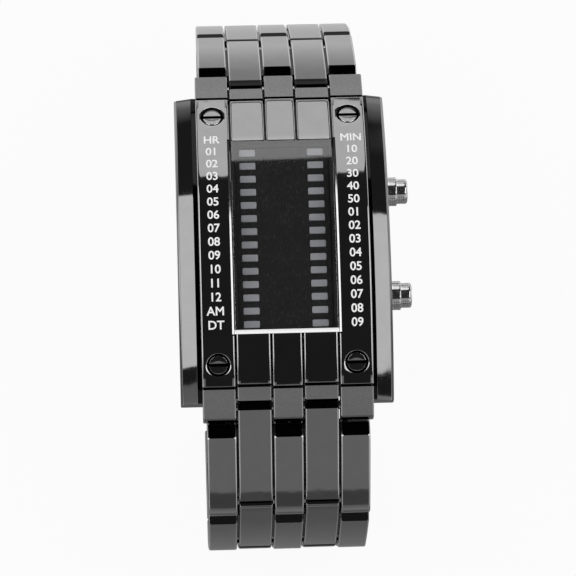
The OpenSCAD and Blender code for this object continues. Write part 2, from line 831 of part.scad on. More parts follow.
module link(side, p, slope) {
    at_bar(side, p, slope) color(gunmetal) difference() {
        union() {
            three_columns(link_w) far_profile();
            two_columns() mid_profile();
            span(-outer_in - 1, outer_in + 1) core_profile();
        }
        bar(bar_r + bar_fit, link_w + cut);
        translate([0, pitch, 0]) bar(bar_r + bar_fit, link_w + cut);
    }
}

module link_bar(side, p) {
    at_bar(side, p, 0) color(steel) bar(bar_r, link_w - 2 * bar_inset);
}

module lug_bar_high() { at_bar(1, lug_bar, 0) color(steel) bar(bar_r, plate_w - 2 * bar_inset); }
module lug_bar_low() { at_bar(-1, lug_bar, 0) color(steel) bar(bar_r, plate_w - 2 * bar_inset); }
module link_low_1() { link(-1, low_bars[0], low_slopes[0]); }
module link_low_2() { link(-1, low_bars[1], low_slopes[1]); }
module link_low_3() { link(-1, low_bars[2], low_slopes[2]); }
module link_low_4() { link(-1, low_bars[3], low_slopes[3]); }
module link_high_1() { link(1, high_bars[0], high_slopes[0]); }
module link_high_2() { link(1, high_bars[1], high_slopes[1]); }
module link_high_3() { link(1, high_bars[2], high_slopes[2]); }
module link_high_4() { link(1, high_bars[3], high_slopes[3]); }
module link_bar_low_1() { link_bar(-1, low_bars[1]); }
module link_bar_low_2() { link_bar(-1, low_bars[2]); }
module link_bar_low_3() { link_bar(-1, low_bars[3]); }
module link_bar_low_4() { link_bar(-1, low_bars[4]); }
module link_bar_high_1() { link_bar(1, high_bars[1]); }
module link_bar_high_2() { link_bar(1, high_bars[2]); }
module link_bar_high_3() { link_bar(1, high_bars[3]); }
module link_bar_high_4() { link_bar(1, high_bars[4]); }

// Blade next to the wrist: eyes on the last bar of the 12 o'clock chain, ears at the first fold
module clasp_inner_blade() {
    full_end = end_high - end_r - end_gap - eye_gap;
    slot_w = 7;
    color(steel) difference() {
        union() {
            span(-mid_out, mid_out) translate([fold_low_y - eye_r, inner_z])
                square([full_end - fold_low_y + eye_r, blade_t]);
            two_columns() {
                translate([end_high, clasp_bar_h]) circle(r = link_top);
                translate([full_end - 1, inner_z]) square([end_high - full_end + 1, blade_t]);
            }
            for (s = [0, 1]) mirror([s, 0, 0]) span(ear_in, mid_out) {
                translate([fold_low_y, fold_h]) circle(r = eye_r);
                translate([fold_low_y - eye_r, fold_h]) square([2 * eye_r, inner_z + blade_t - fold_h]);
            }
        }
        translate([0, end_high, clasp_bar_h]) bar(bar_r + bar_fit, cut);
        translate([0, fold_low_y, fold_h]) bar(fold_pin_r + bar_fit, cut);
        // Long slots that lighten the blade
        for (s = [-1, 1]) translate([-slot_w / 2, s * slot_w - slot_w / 2, 0]) cube([slot_w, slot_w, cut]);
    }
}

// Blade between the two folds
module clasp_middle_blade() {
    low_z = fold_h - eye_r;
    slot_w = 6;
    color(steel) difference() {
        union() {
            span(-blade_x, blade_x) translate([fold_low_y + eye_r + eye_gap, low_z])
                square([fold_high_y - fold_low_y - eye_r - eye_gap, blade_t]);
            span(-knuckle_x, knuckle_x) {
                translate([fold_low_y, fold_h]) circle(r = eye_r);
                translate([fold_low_y, low_z]) square([2 * (eye_r + eye_gap), blade_t]);
            }
            span(-wall_in + side_gap, wall_in - side_gap) {
                translate([fold_high_y, fold_h]) circle(r = eye_r);
                translate([fold_high_y - 2 * eye_r, low_z]) square([2 * eye_r, blade_t]);
            }
        }
        translate([0, fold_low_y, fold_h]) bar(fold_pin_r + bar_fit, cut);
        translate([0, fold_high_y, fold_h]) bar(fold_pin_r + bar_fit, cut);
        for (s = [-1, 1]) translate([-slot_w / 2, s * slot_w - slot_w / 2, 0]) cube([slot_w, slot_w, cut]);
    }
}

// Outer cover with side walls, a shallow seat for the last 6 o'clock bar, and button brackets
module clasp_cover() {
    y0 = end_low + cover_end;
    y1 = end_high - cover_end;
    seat = bar_r + 0.3;
    tongue_y = end_low + bar_r + 0.08;
    tongue_t = 2;
    bracket_l = 3;
    color(gunmetal) difference() {
        union() {
            translate([-cover_w / 2, y0, 0]) cube([cover_w, y1 - y0, cover_t]);
            for (x = [-cover_w / 2, wall_in]) translate([x, y0, 0]) cube([wall_t, y1 - y0, cover_h]);
            two_columns() difference() {
                union() {
                    translate([tongue_y, clasp_bar_h - tongue_t / 2])
                        square([y0 + wall_t - tongue_y, tongue_t]);
                    translate([y0, 0]) square([wall_t, clasp_bar_h + tongue_t / 2]);
                }
                translate([end_low, clasp_bar_h]) circle(r = seat);
            }
            for (s = [-1, 1]) translate([s * (bracket_x + bracket_t / 2) - bracket_t / 2, -bracket_l / 2, 0])
                cube([bracket_t, bracket_l, button_z + 2 * button_r]);
        }
        translate([0, fold_high_y, fold_h]) bar(fold_pin_r + bar_fit, cut);
        translate([0, 0, button_z]) bar(button_r + bar_fit, cut);
    }
}

module clasp_fold_pin_low() {
    color(steel) translate([0, fold_low_y, fold_h]) bar(fold_pin_r, 2 * (mid_out - side_gap));
}

module clasp_fold_pin_high() {
    color(steel) translate([0, fold_high_y, fold_h]) bar(fold_pin_r, cover_w - 2 * side_gap);
}

// Button on the side s of the cover, with the collar and catch plate inside the wall
module clasp_button(s) {
    plate_l = 2.4;
    cap = [1, 5, 3.2];
    chamfer = 0.6;
    cap_x = cover_w / 2 + latch_travel + push_play;
    shaft_in = bracket_x + bracket_t - latch_travel;
    mirror([s > 0 ? 0 : 1, 0, 0]) color(steel) {
        translate([shaft_in, 0, button_z]) rotate([0, 90, 0])
            cylinder(r = button_r, h = cap_x + cap[0] / 2 - shaft_in);
        translate([collar_in, -plate_l / 2, button_z - latch_spring_r - side_gap])
            cube([catch_t, plate_l, cover_h - button_z + latch_spring_r]);
        difference() {
            translate([cap_x, -cap[1] / 2, button_z - cap[2] / 2]) cube(cap);
            for (t = [-1, 1]) translate([cap_x + cap[0], t * cap[1] / 2, 0]) rotate([0, 0, 45])
                cube([chamfer, chamfer, cut], center = true);
        }
    }
}

module clasp_spring(s) {
    mirror([s > 0 ? 0 : 1, 0, 0]) color(steel) translate([0, 0, button_z])
        sleeve(button_r + bar_fit, latch_spring_r, bracket_x + bracket_t, collar_in);
}

module clasp_button_left() { clasp_button(-1); }
module clasp_button_right() { clasp_button(1); }
module clasp_spring_left() { clasp_spring(-1); }
module clasp_spring_right() { clasp_spring(1); }

case_body();
bezel_plate();
bezel_screws();
crystal();
crystal_gasket();
display_mask();
led_bars();
led_board();
main_board();
board_components();
module_holder();
coin_cell_upper();
coin_cell_lower();
battery_strap();
case_back();
case_back_gasket();
case_back_screws();
pusher_tube_upper();
pusher_tube_lower();
pusher_upper();
pusher_lower();
pusher_spring_upper();
pusher_spring_lower();
pusher_seal_upper();
pusher_seal_lower();
pusher_clip_upper();
pusher_clip_lower();
lug_bar_high();
lug_bar_low();
link_low_1();
link_low_2();
link_low_3();
link_low_4();
link_high_1();
link_high_2();
link_high_3();
link_high_4();
link_bar_low_1();
link_bar_low_2();
link_bar_low_3();
link_bar_low_4();
link_bar_high_1();
link_bar_high_2();
link_bar_high_3();
link_bar_high_4();
clasp_inner_blade();
clasp_middle_blade();
clasp_cover();
clasp_fold_pin_low();
clasp_fold_pin_high();
clasp_button_left();
clasp_button_right();
clasp_spring_left();
clasp_spring_right();
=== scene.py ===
import bpy, bmesh, json, math
from mathutils import Matrix, Vector


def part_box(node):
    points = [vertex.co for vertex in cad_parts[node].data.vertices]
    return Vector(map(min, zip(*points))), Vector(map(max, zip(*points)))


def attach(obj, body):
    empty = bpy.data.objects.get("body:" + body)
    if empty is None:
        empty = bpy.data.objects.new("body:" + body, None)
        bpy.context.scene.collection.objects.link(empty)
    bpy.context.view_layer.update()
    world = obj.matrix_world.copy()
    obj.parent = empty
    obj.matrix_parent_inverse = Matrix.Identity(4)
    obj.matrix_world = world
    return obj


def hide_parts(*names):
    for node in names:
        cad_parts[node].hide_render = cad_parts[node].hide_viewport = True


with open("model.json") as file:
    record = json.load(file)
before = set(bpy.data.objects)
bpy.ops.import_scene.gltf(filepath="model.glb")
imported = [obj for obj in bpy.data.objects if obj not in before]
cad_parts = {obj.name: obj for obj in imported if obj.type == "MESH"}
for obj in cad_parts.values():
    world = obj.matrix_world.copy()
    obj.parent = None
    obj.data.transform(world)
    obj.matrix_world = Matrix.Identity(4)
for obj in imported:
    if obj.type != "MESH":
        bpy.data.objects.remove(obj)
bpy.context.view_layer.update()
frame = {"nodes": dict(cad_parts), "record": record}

mm = 0.001
crispAngle = 35
nodes = frame["nodes"]
bodyOf = {node: body for body, held in frame["record"]["behaviour"]["bodies"].items() for node in held}
slotOf = {part["node"]: part["material_slot"] for part in frame["record"]["subparts"]}
scene = bpy.context.scene

# The case's own frame has its origin on the crown of the bezel plate, and x and y through its middle
plateLow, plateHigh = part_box("bezel_plate")
caseAt = Vector((0, (plateLow.y + plateHigh.y) / 2, plateHigh.z))
caseFrame = Matrix.Translation(caseAt)


def turned(degrees, axis):
    return Matrix.Rotation(math.radians(degrees), 4, axis)


# Camera at the photograph's angle, found from the places of the screws, window and links
view = dict(turnZ=1.83, turnX=-14.3, turnY=1.95, sideways=0.6, along=-9.37, away=550, lens=206.6, sensor=36)
look = turned(view["turnZ"], "Z") @ turned(view["turnX"], "X") @ turned(view["turnY"], "Y")
cameraData = bpy.data.cameras.new("view")
cameraData.lens, cameraData.sensor_width = view["lens"], view["sensor"]
camera = bpy.data.objects.new("view", cameraData)
scene.collection.objects.link(camera)
eye = Vector((view["sideways"], view["along"], view["away"])) * mm
camera.matrix_world = caseFrame @ look.transposed() @ Matrix.Translation(eye)
scene.camera = camera
scene.view_settings.view_transform = "Standard"
print("camera set")


# An output socket that can be written in sums
class Wire:
    def __init__(self, finish, socket):
        self.finish, self.socket = finish, socket

    def sum(self, operation, first, second):
        return self.finish.node("ShaderNodeMath", {"operation": operation}, {0: first, 1: second})

    def __add__(self, other):
        return self.sum("ADD", self, other)

    def __radd__(self, other):
        return self.sum("ADD", other, self)

    def __sub__(self, other):
        return self.sum("SUBTRACT", self, other)

    def __rsub__(self, other):
        return self.sum("SUBTRACT", other, self)

    def __mul__(self, other):
        return self.sum("MULTIPLY", self, other)


# A node tree under way, for a material or the world
class Finish:
    def __init__(self, owner):
        owner.use_nodes = True
        self.owner, self.tree = owner, owner.node_tree
        self.tree.nodes.clear()

    def node(self, kind, settings=None, inputs=None, output=0):
        made = self.tree.nodes.new(kind)
        for key, value in (settings or {}).items():
            if key == "stops":
                self.setStops(made.color_ramp, value)
            else:
                setattr(made, key, value)
        for key, value in (inputs or {}).items():
            if isinstance(value, Wire):
                self.tree.links.new(value.socket, made.inputs[key])
            else:
                made.inputs[key].default_value = value
        return Wire(self, made.outputs[output])

    def setStops(self, ramp, stops):
        for element, (at, value) in zip(ramp.elements, stops):
            element.position, element.color = at, (value, value, value, 1)
        for at, value in stops[2:]:
            ramp.elements.new(at).color = (value, value, value, 1)

    def noise(self, size, detail=3, stretch=(1, 1, 1), turn=(0, 0, 0), rough=0.55):
        here = self.node("ShaderNodeTexCoord", output="Object")
        scale = tuple(1 / (size * mm * s) for s in stretch)
        where = self.node("ShaderNodeMapping", None, {"Vector": here, "Scale": scale, "Rotation": turn})
        return self.node("ShaderNodeTexNoise", None,
                         {"Vector": where, "Scale": 1.0, "Detail": detail, "Roughness": rough}, "Fac")

    def ramp(self, value, *stops):
        return self.node("ShaderNodeValToRGB", {"stops": stops}, {"Fac": value}, "Color")

    def blend(self, factor, first, second):
        return self.node("ShaderNodeMix", {"data_type": "RGBA"}, {0: factor, 6: first, 7: second}, 2)

    def bump(self, height, depth):
        return self.node("ShaderNodeBump", None, {"Height": height, "Distance": depth * mm, "Strength": 1.0})

    def surface(self, shader):
        isMaterial = isinstance(self.owner, bpy.types.Material)
        kind = "ShaderNodeOutputMaterial" if isMaterial else "ShaderNodeOutputWorld"
        self.tree.links.new(shader.socket, self.tree.nodes.new(kind).inputs["Surface"])


def grey(value, warm=0.0):
    return (value * (1 + warm), value, value * (1 - warm), 1)


# Sizes in mm of what is on the metals: smudges, specks, two sets of hairlines, slow waves in the polish, and
# how deep the relief is
wear = dict(smudge=2.6, speck=0.35, hair=0.05, crossHair=0.06, wave=3.2, deep=0.0022)


# Polished or brushed metal with smudges, hairline scratches and lighter worn edges, and a painted highlight
# or painted shade on flagged faces
def metal(name, tone, worn, roughness, smudge=0.05, scratch=0.35, rub=0.6, grain=None, wave=0, flags=None):
    f = Finish(bpy.data.materials.new(name))
    cloud = f.noise(wear["smudge"], 4)
    speck = f.noise(wear["speck"], 3)
    lines = f.noise(wear["hair"], 2, (1, 60, 1), (0.2, 0.1, 0.35))
    cross = f.noise(wear["crossHair"], 2, (50, 1, 1), (0.3, 0.2, -0.5))
    hairline = f.ramp(lines, (0.6, 0), (0.72, 1)) * 0.6 + f.ramp(cross, (0.62, 0), (0.74, 1)) * 0.4
    edge = f.ramp(f.node("ShaderNodeNewGeometry", output="Pointiness"), (0.515, 0), (0.62, 1))
    rubbed = edge * f.ramp(speck, (0.3, 0.35), (0.6, 1)) * rub
    patch = f.blend(f.ramp(cloud, (0.3, 0), (0.7, 1)), tone, [c * 0.94 for c in tone[:3]] + [1])
    color = f.blend(rubbed, patch, worn)
    # Flagged faces take a painted colour: a bright painted highlight on rims, black painted shade in recesses
    for flag, shade in (flags or {}).items():
        marked = f.node("ShaderNodeAttribute", {"attribute_name": flag}, output="Fac")
        color = f.blend(marked, color, shade)
    rough = roughness + (cloud - 0.5) * smudge + hairline * 0.04 + rubbed * 0.08
    relief = hairline * scratch * -1
    if grain:
        relief = relief + f.noise(grain["size"], 2, grain["stretch"]) * grain["depth"]
    if wave:
        relief = relief + f.noise(wear["wave"], 1) * wave
    normal = f.bump(relief + speck * 0.03, wear["deep"])
    f.surface(f.node("ShaderNodeBsdfPrincipled", None,
                     {"Base Color": color, "Metallic": 1.0, "Roughness": rough, "Normal": normal}))
    return f.owner


# Plastic, rubber, lacquer or print: fine texture, a little dust and colour change, and a painted glow where
# one is given
def plastic(name, tone, other, roughness, size, depth, coat=0.0, dust=0.0, glow=0.0):
    f = Finish(bpy.data.materials.new(name))
    cloud, fine = f.noise(3, 3), f.noise(size, 4)
    color = f.blend(f.ramp(cloud, (0.3, 0), (0.7, 1)), tone, other)
    if dust:
        fluff = f.noise(0.17, 2, (1, 4, 1), (0.3, 0.2, 0.5), 0.7)
        lint = f.ramp(fluff, (0.56, 0), (0.7, 1)) * f.ramp(f.noise(1.5, 2), (0.4, 0.3), (0.6, 1)) * dust
        color = f.blend(lint, color, grey(0.4))
    rough = roughness + (fine - 0.5) * 0.12 + (cloud - 0.5) * 0.08
    f.surface(f.node("ShaderNodeBsdfPrincipled", None,
                     {"Base Color": color, "Roughness": rough, "Coat Weight": coat, "Emission Color": color,
                      "Emission Strength": glow, "Normal": f.bump(fine, depth)}))
    return f.owner


brushed = dict(size=0.04, stretch=(60, 1, 1), depth=0.5)
metals = dict(
    # The dark metal's rims get a bright painted highlight and its recesses black painted shade
    dark_metal=dict(tone=grey(0.27), worn=grey(0.4), roughness=0.045, smudge=0.03, scratch=0.12, wave=5,
                    flags=dict(rim=grey(0.85), recess=grey(0.018))),
    pusher_metal=dict(tone=grey(0.62), worn=grey(0.75), roughness=0.08, rub=0.5),
    screw_steel=dict(tone=grey(0.42), worn=grey(0.6), roughness=0.16, scratch=0.5),
    rim_steel=dict(tone=grey(0.6), worn=grey(0.7), roughness=0.1),
    steel=dict(tone=grey(0.5, 0.01), worn=grey(0.62), roughness=0.24, grain=brushed),
    spring_steel=dict(tone=grey(0.48, 0.03), worn=grey(0.6), roughness=0.28),
    cell=dict(tone=grey(0.56), worn=grey(0.66), roughness=0.25, grain=brushed),
    contact=dict(tone=(0.6, 0.42, 0.17, 1), worn=(0.74, 0.58, 0.3, 1), roughness=0.3))
plastics = dict(
    rubber=dict(tone=grey(0.012), other=grey(0.018), roughness=0.62, size=0.2, depth=0.01),
    mask=dict(tone=grey(0.004), other=grey(0.006), roughness=0.38, size=0.12, depth=0.006, dust=0.16),
    led_lens=dict(tone=(0.5, 0.51, 0.55, 1), other=(0.58, 0.59, 0.63, 1), roughness=0.3, size=0.3,
                  depth=0.003, coat=0.4),
    circuit_board=dict(tone=(0.012, 0.1, 0.035, 1), other=(0.02, 0.14, 0.05, 1), roughness=0.35, size=0.15,
                       depth=0.01, coat=0.3),
    component=dict(tone=grey(0.02), other=grey(0.035), roughness=0.45, size=0.1, depth=0.006),
    holder_plastic=dict(tone=(0.66, 0.64, 0.58, 1), other=(0.7, 0.68, 0.63, 1), roughness=0.48, size=0.3,
                        depth=0.006),
    # The print has a painted glow that lifts it whiter, though it is no lamp
    print=dict(tone=grey(0.95), other=grey(0.9), roughness=0.5, size=0.08, depth=0.002, glow=0.25))
finishes = {name: metal(name, **values) for name, values in metals.items()}
finishes.update({name: plastic(name, **values) for name, values in plastics.items()})


# Crystal: clear, with the sky's reflection on it
def glass(name, flat, rim, roughness):
    f = Finish(bpy.data.materials.new(name))
    smear = f.noise(4, 3)
    rough = roughness + (smear - 0.5) * 0.03
    gloss = f.node("ShaderNodeBsdfPrincipled", None,
                   {"Base Color": grey(0.9), "Metallic": 1.0, "Roughness": rough,
                    "Normal": f.bump(f.noise(0.2, 3), 0.0004)})
    clear = f.node("ShaderNodeBsdfTransparent", None, {"Color": grey(0.985)})
    grazing = f.node("ShaderNodeFresnel", None, {"IOR": 1.45})
    inside = f.node("ShaderNodeNewGeometry", output="Backfacing")
    share = (grazing * rim + flat + smear * 0.01) * (1 - inside)
    f.surface(f.node("ShaderNodeMixShader", None, {"Fac": share, 1: clear, 2: gloss}))
    return f.owner


finishes["crystal"] = glass("crystal", flat=0.085, rim=1.0, roughness=0.05)
print("finishes:", len(finishes))


def shown(name, data):
    made = bpy.data.objects.new(name, data)
    scene.collection.objects.link(made)
    return made


# Set a mesh down as a piece that rides on a body
def piece(name, mesh, body, slot, finish=None, stands=(), weighted=True):
    made = shown(name, mesh)
    mesh.materials.clear()
    mesh.materials.append(finishes[finish or slot])
    if weighted:
        made.modifiers.new("normals", "WEIGHTED_NORMAL").keep_sharp = True
    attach(made, body)
    if stands:
        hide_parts(*stands)


def filled(bm, name):
    mesh = bpy.data.meshes.new(name)
    bm.to_mesh(mesh)
    bm.free()
    return mesh


# Smooth faces that meet at a crisp edge above an angle, beside the edges that are marked already
def meshOf(bm, matrix=None, name="part", crisp=crispAngle):
    bmesh.ops.remove_doubles(bm, verts=bm.verts, dist=1e-7)
    bmesh.ops.recalc_face_normals(bm, faces=bm.faces)
    for face in bm.faces:
        face.smooth = True
    for edge in bm.edges:
        if edge.calc_face_angle(0) > math.radians(crisp):
            edge.smooth = False
    if matrix:
        bm.transform(matrix)
    return filled(bm, name)


# Flag faces for the dark metal: painted shade makes a recess black, such as a groove's floor, and a painted
# highlight makes a rim bright.
# A test gets a face's centre in mm and its normal. Where a normal's share along an axis lies above flatAt,
# the face is flat, and between rimAt and flatAt it is a rim. Faces up to slack from a limit still count.
rimAt, flatAt, slack = 0.2, 0.97, 0.01


def flagged(mesh, name, test, amount=1.0):
    flags = mesh.attributes.get(name) or mesh.attributes.new(name, "FLOAT", "FACE")
    for face in mesh.polygons:
        if test(face.center / mm, face.normal):
            flags.data[face.index].value = amount
    return mesh


def paintShade(mesh, test=lambda c, n: True):
    return flagged(mesh, "recess", test)


def paintRimHighlight(mesh, amount):
    return flagged(mesh, "rim", lambda c, n: rimAt < abs(n.x) < flatAt, amount)


# Put several meshes together as one
def joined(meshes, name):
    bm = bmesh.new()
    for mesh in meshes:
        bm.from_mesh(mesh)
    return filled(bm, name)


def spread(low, high, count):
    return [low + (high - low) * i / count for i in range(count + 1)]


# Points on an arc, in mm, angles in degrees
def arc(centre, radius, start, end, step=5):
    turns = [math.radians(a) for a in spread(start, end, max(2, math.ceil(abs(end - start) / step)))]
    return [(centre[0] + radius * math.cos(a), centre[1] + radius * math.sin(a)) for a in turns]


# A closed outline moved inwards
def inset(outline, amount):
    count = len(outline)
    pairs = [(outline[i - 1], outline[i]) for i in range(count)]
    side = 1 if sum(a[0] * b[1] - b[0] * a[1] for a, b in pairs) > 0 else -1
    moved = []
    for i in range(count):
        before, here, after = (Vector(outline[(i + d) % count]) for d in (-1, 0, 1))
        first, second = (here - before).normalized(), (after - here).normalized()
        first, second = Vector((-first.y, first.x)), Vector((-second.y, second.x))
        moved.append(here + (first + second) * side * amount / max(0.3, 1 + first.dot(second)))
    return [tuple(p) for p in moved]


def ringOf(bm, x, outline):
    return [bm.verts.new((x * mm, y * mm, z * mm)) for y, z in outline]


def stitch(bm, rings):
    for near, far in zip(rings, rings[1:]):
        for i in range(len(near)):
            bm.faces.new((near[i - 1], near[i], far[i], far[i - 1]))


def capEnd(bm, *rings):
    if len(rings) == 1:
        bm.faces.new(rings[0])
        return
    edges = [bm.edges.get((ring[i - 1], ring[i])) for ring in rings for i in range(len(ring))]
    bmesh.ops.triangle_fill(bm, use_beauty=True, edges=edges)


# A side outline, as distance along and height, drawn out from x0 to x1 with rounded rims, a faint crown
# beside them that falls by a share of its width, and a bore with a small chamfer
crownFall, boreLip = 0.04, 0.08


def column(outline, x0, x1, soft, bore=None, cuts=(), rounds=3, crown=0):
    bm = bmesh.new()
    fall = crown * crownFall
    turns = [math.radians(90 * k / rounds) for k in range(rounds + 1)]
    steps = [(soft * (1 - math.cos(a)), soft * (1 - math.sin(a)) + fall) for a in turns]
    if crown:
        steps += [(soft + crown * k / 4, fall * (1 - k / 4) ** 2) for k in (1, 2, 3, 4)]
    sizes = [(x0 + dx, rim) for dx, rim in steps] + [(x1 - dx, rim) for dx, rim in reversed(steps)]
    rings = [ringOf(bm, x, inset(outline, rim)) for x, rim in sizes]
    stitch(bm, rings)
    ends = [[rings[0]], [rings[-1]]]
    if bore:
        stations = ((x0, boreLip), (x0 + boreLip, 0), (x1 - boreLip, 0), (x1, boreLip))
        hole = [ringOf(bm, x, arc(bore[:2], bore[2] + wide, 0, 360, 12)[:-1]) for x, wide in stations]
        stitch(bm, hole)
        ends[0].append(hole[0])
        ends[1].append(hole[-1])
    for end in ends:
        capEnd(bm, *end)
    bmesh.ops.recalc_face_normals(bm, faces=bm.faces)
    for at, away in cuts:
        found = bmesh.ops.bisect_plane(bm, geom=bm.verts[:] + bm.edges[:] + bm.faces[:], dist=1e-8,
                                       plane_co=Vector(at) * mm, plane_no=away, clear_outer=True)
        rim = [e for e in found["geom_cut"] if isinstance(e, bmesh.types.BMEdge)]
        bmesh.ops.edgeloop_fill(bm, edges=rim)
        for edge in rim:
            edge.smooth = False
    return bm


# A plain bar of a side outline
def barMesh(outline, x0, x1, soft=0.01):
    return meshOf(column(outline, x0, x1, soft, rounds=1))


# Turn a profile of (distance along x, radius) pairs around an axis along X
def lathe(profile, steps=64, matrix=None, name="turned", crisp=crispAngle):
    bm = bmesh.new()
    rings = []
    for x, radius in profile:
        if radius <= 0:
            rings.append([bm.verts.new((x * mm, 0, 0))])
        else:
            rings.append(ringOf(bm, x, arc((0, 0), radius, 0, 360, 360 / steps)[:-1]))
    for near, far in zip(rings, rings[1:]):
        for i in range(steps):
            a = [near[(i - 1) % len(near)], near[i % len(near)]]
            b = [far[i % len(far)], far[(i - 1) % len(far)]]
            corners = list(dict.fromkeys(a + b))
            if len(corners) > 2:
                bm.faces.new(corners)
    if len(rings[0]) > 1 and len(rings[-1]) > 1:
        bm.faces.new(rings[0])
        bm.faces.new(rings[-1])
    return meshOf(bm, matrix, name, crisp)


def boxMesh(low, high):
    bm = bmesh.new()
    bmesh.ops.create_cube(bm, size=1)
    for v in bm.verts:
        v.co = Vector([(low[i] + high[i]) / 2 + v.co[i] * (high[i] - low[i]) for i in range(3)]) * mm
    return meshOf(bm, None, "block")


# An object's mesh after its modifiers, with the object and its helpers removed
def evaluated(holder, helpers=()):
    bpy.context.view_layer.update()
    out = bpy.data.meshes.new_from_object(holder.evaluated_get(bpy.context.evaluated_depsgraph_get()))
    for done in (holder, *helpers):
        bpy.data.objects.remove(done)
    return out


def shaded(mesh):
    mesh.shade_smooth()
    mesh.set_sharp_from_angle(angle=math.radians(crispAngle))
    return mesh


# A mesh less the cutters' meshes
def carved(mesh, cutters):
    holder = shown("body", mesh)
    tools = [shown("tool", cutter) for cutter in cutters]
    for tool in tools:
        step = holder.modifiers.new("cut", "BOOLEAN")
        step.operation, step.object, step.solver = "DIFFERENCE", tool, "EXACT"
    return shaded(evaluated(holder, tools))


# Round the edges sharper than an angle
def softened(mesh, width, angle=30):
    holder = shown("soft", mesh)
    step = holder.modifiers.new("soft", "BEVEL")
    step.width, step.segments, step.limit_method = width * mm, 2, "ANGLE"
    step.angle_limit, step.use_clamp_overlap = math.radians(angle), True
    return shaded(evaluated(holder))


# A copy of a CAD node with joined flats and rounded edges
def dressed(node, width):
    bm = bmesh.new()
    bm.from_mesh(nodes[node].data)
    bmesh.ops.remove_doubles(bm, verts=bm.verts, dist=2e-7)
    bmesh.ops.dissolve_limit(bm, angle_limit=math.radians(0.6), verts=bm.verts, edges=bm.edges)
    mesh = softened(filled(bm, node + "_shape"), width)
    piece(node + "_piece", mesh, bodyOf[node], slotOf[node], stands=(node,))


# The five columns of the plate, the lugs and the links, with a groove between neighbours
columns = dict(centre=4.95, mid=5.65, gap=0.3, plate=28.5, link=27.3, groove=0.8)
midIn = columns["centre"] / 2 + columns["gap"]
midOut = midIn + columns["mid"]
outerIn = midOut + columns["gap"]
grooveSpans = [(midIn - columns["gap"], midIn), (midOut, outerIn)]
grooveSpans += [(-b, -a) for a, b in grooveSpans]


def columnSpans(wide):
    half, inner = wide / 2, columns["centre"] / 2
    return dict(left=(-half, -outerIn), midLeft=(-midOut, -midIn), centre=(-inner, inner),
                midRight=(midIn, midOut), right=(outerIn, half))


# Bezel plate: five columns on one arc, two of them whole, with the window between
# Among the sizes, the share of painted highlight on the rims
plate = dict(radius=59, thick=2.2, bend=25.4, slope=27, window=16.75, soft=0.22, crown=0.35, notch=0.3,
             corner=0.26, midShort=0.35, highlightPaint=0.45, slotWide=0.38, slotLong=17, slotDeep=1.1, slotPast=1,
             endZone=1.2, endLean=0.62, notchLean=0.85)


def plateHeight(y, under=0.0):
    return math.sqrt((plate["radius"] - under) ** 2 - y * y) - plate["radius"]


def plateOutline(start, end, top=0.0, short=0.0):
    cutAt = math.radians(plate["slope"])
    steps = 24 if start < 0 < end else 10  # fewer for the short columns beyond the window

    def line(under):
        ys = []
        for limit in (start, end):
            # The outer ends are cut square to the slope of the lugs, a notch away from them
            slant = under * math.sin(cutAt) + plate["notch"] + short if abs(limit) >= plate["bend"] else 0
            ys.append(limit - math.copysign(slant, limit))
        return [(y, plateHeight(y, under)) for y in spread(*ys, steps)]

    def corner(point):
        side, r = math.copysign(1, point[0]), plate["corner"]
        out = Vector((side * math.cos(cutAt), -math.sin(cutAt)))
        up = Vector((side * math.sin(cutAt), math.cos(cutAt)))
        centre = Vector(point) - (out + up) * r
        turns = [math.radians(a) for a in (0, 30, 60, 90)]
        return [tuple(centre + (out * math.sin(a) + up * math.cos(a)) * r) for a in turns]

    crest = line(top)
    if end >= plate["bend"]:
        crest[-1:] = corner(crest[-1])
    if start <= -plate["bend"]:
        crest[:1] = reversed(corner(crest[0]))
    return crest + line(plate["thick"])[::-1]


# Tests for faces at a plate column's end: its corner toward 12 o'clock gets a painted highlight, and the
# notch painted shade
def atEnd(centre):
    return abs(centre.y) > plate["bend"] - plate["endZone"]


def endHighlight(centre, normal):
    return atEnd(centre) and plate["endLean"] < normal.y < plate["notchLean"]


def inNotch(centre, normal):
    return atEnd(centre) and abs(normal.y) > plate["notchLean"]


# Screws with a flat head, a chamfered rim and a slot, each in a cone-shaped seat painted black as shade, with
# a painted highlight on its lip
screws = dict(x=11.5, y=21.6, bore=0.73, boreTop=-1.31, well=1.7, cone=-0.55, seat=1.98, coneTop=-0.06,
              lip=0.25, lipTop=0.03, lipZone=0.1, head=1.65, top=-0.26, under=-1.3, thread=0.7, end=-3.6,
              tip=0.1, slotWide=0.55, slotDeep=0.45, chamfer=0.14, soft=0.05, highlightPaint=0.5, past=3, wallLean=0.9,
              floorDeep=0.2, rimLean=0.3)
screwTilt = math.degrees(math.asin(screws["y"] / plate["radius"]))


def screwPlace(side, x):
    return (Matrix.Translation((0, 0, -plate["radius"] * mm)) @ turned(-side * screwTilt, "X")
            @ Matrix.Translation((x * mm, 0, plate["radius"] * mm)) @ turned(-90, "Y"))


def seatTests(side, x):
    toScrew = screwPlace(side, x).inverted()
    axis = screwPlace(side, x).to_3x3() @ Vector((1, 0, 0))
    seat, lip = screws["seat"], screws["seat"] + screws["lip"]

    def placed(centre):
        here = toScrew @ (centre * mm) / mm
        return here.x, math.hypot(here.y, here.z)

    def inSeat(centre, normal):
        height, radius = placed(centre)
        low = normal.dot(axis) < screws["wallLean"] or height < -screws["floorDeep"]
        return low and radius < seat + slack and height > -screws["past"]

    def onLip(centre, normal):
        height, radius = placed(centre)
        return seat < radius < lip and abs(height) < screws["lipZone"] and normal.dot(axis) < flatAt

    return inSeat, onLip


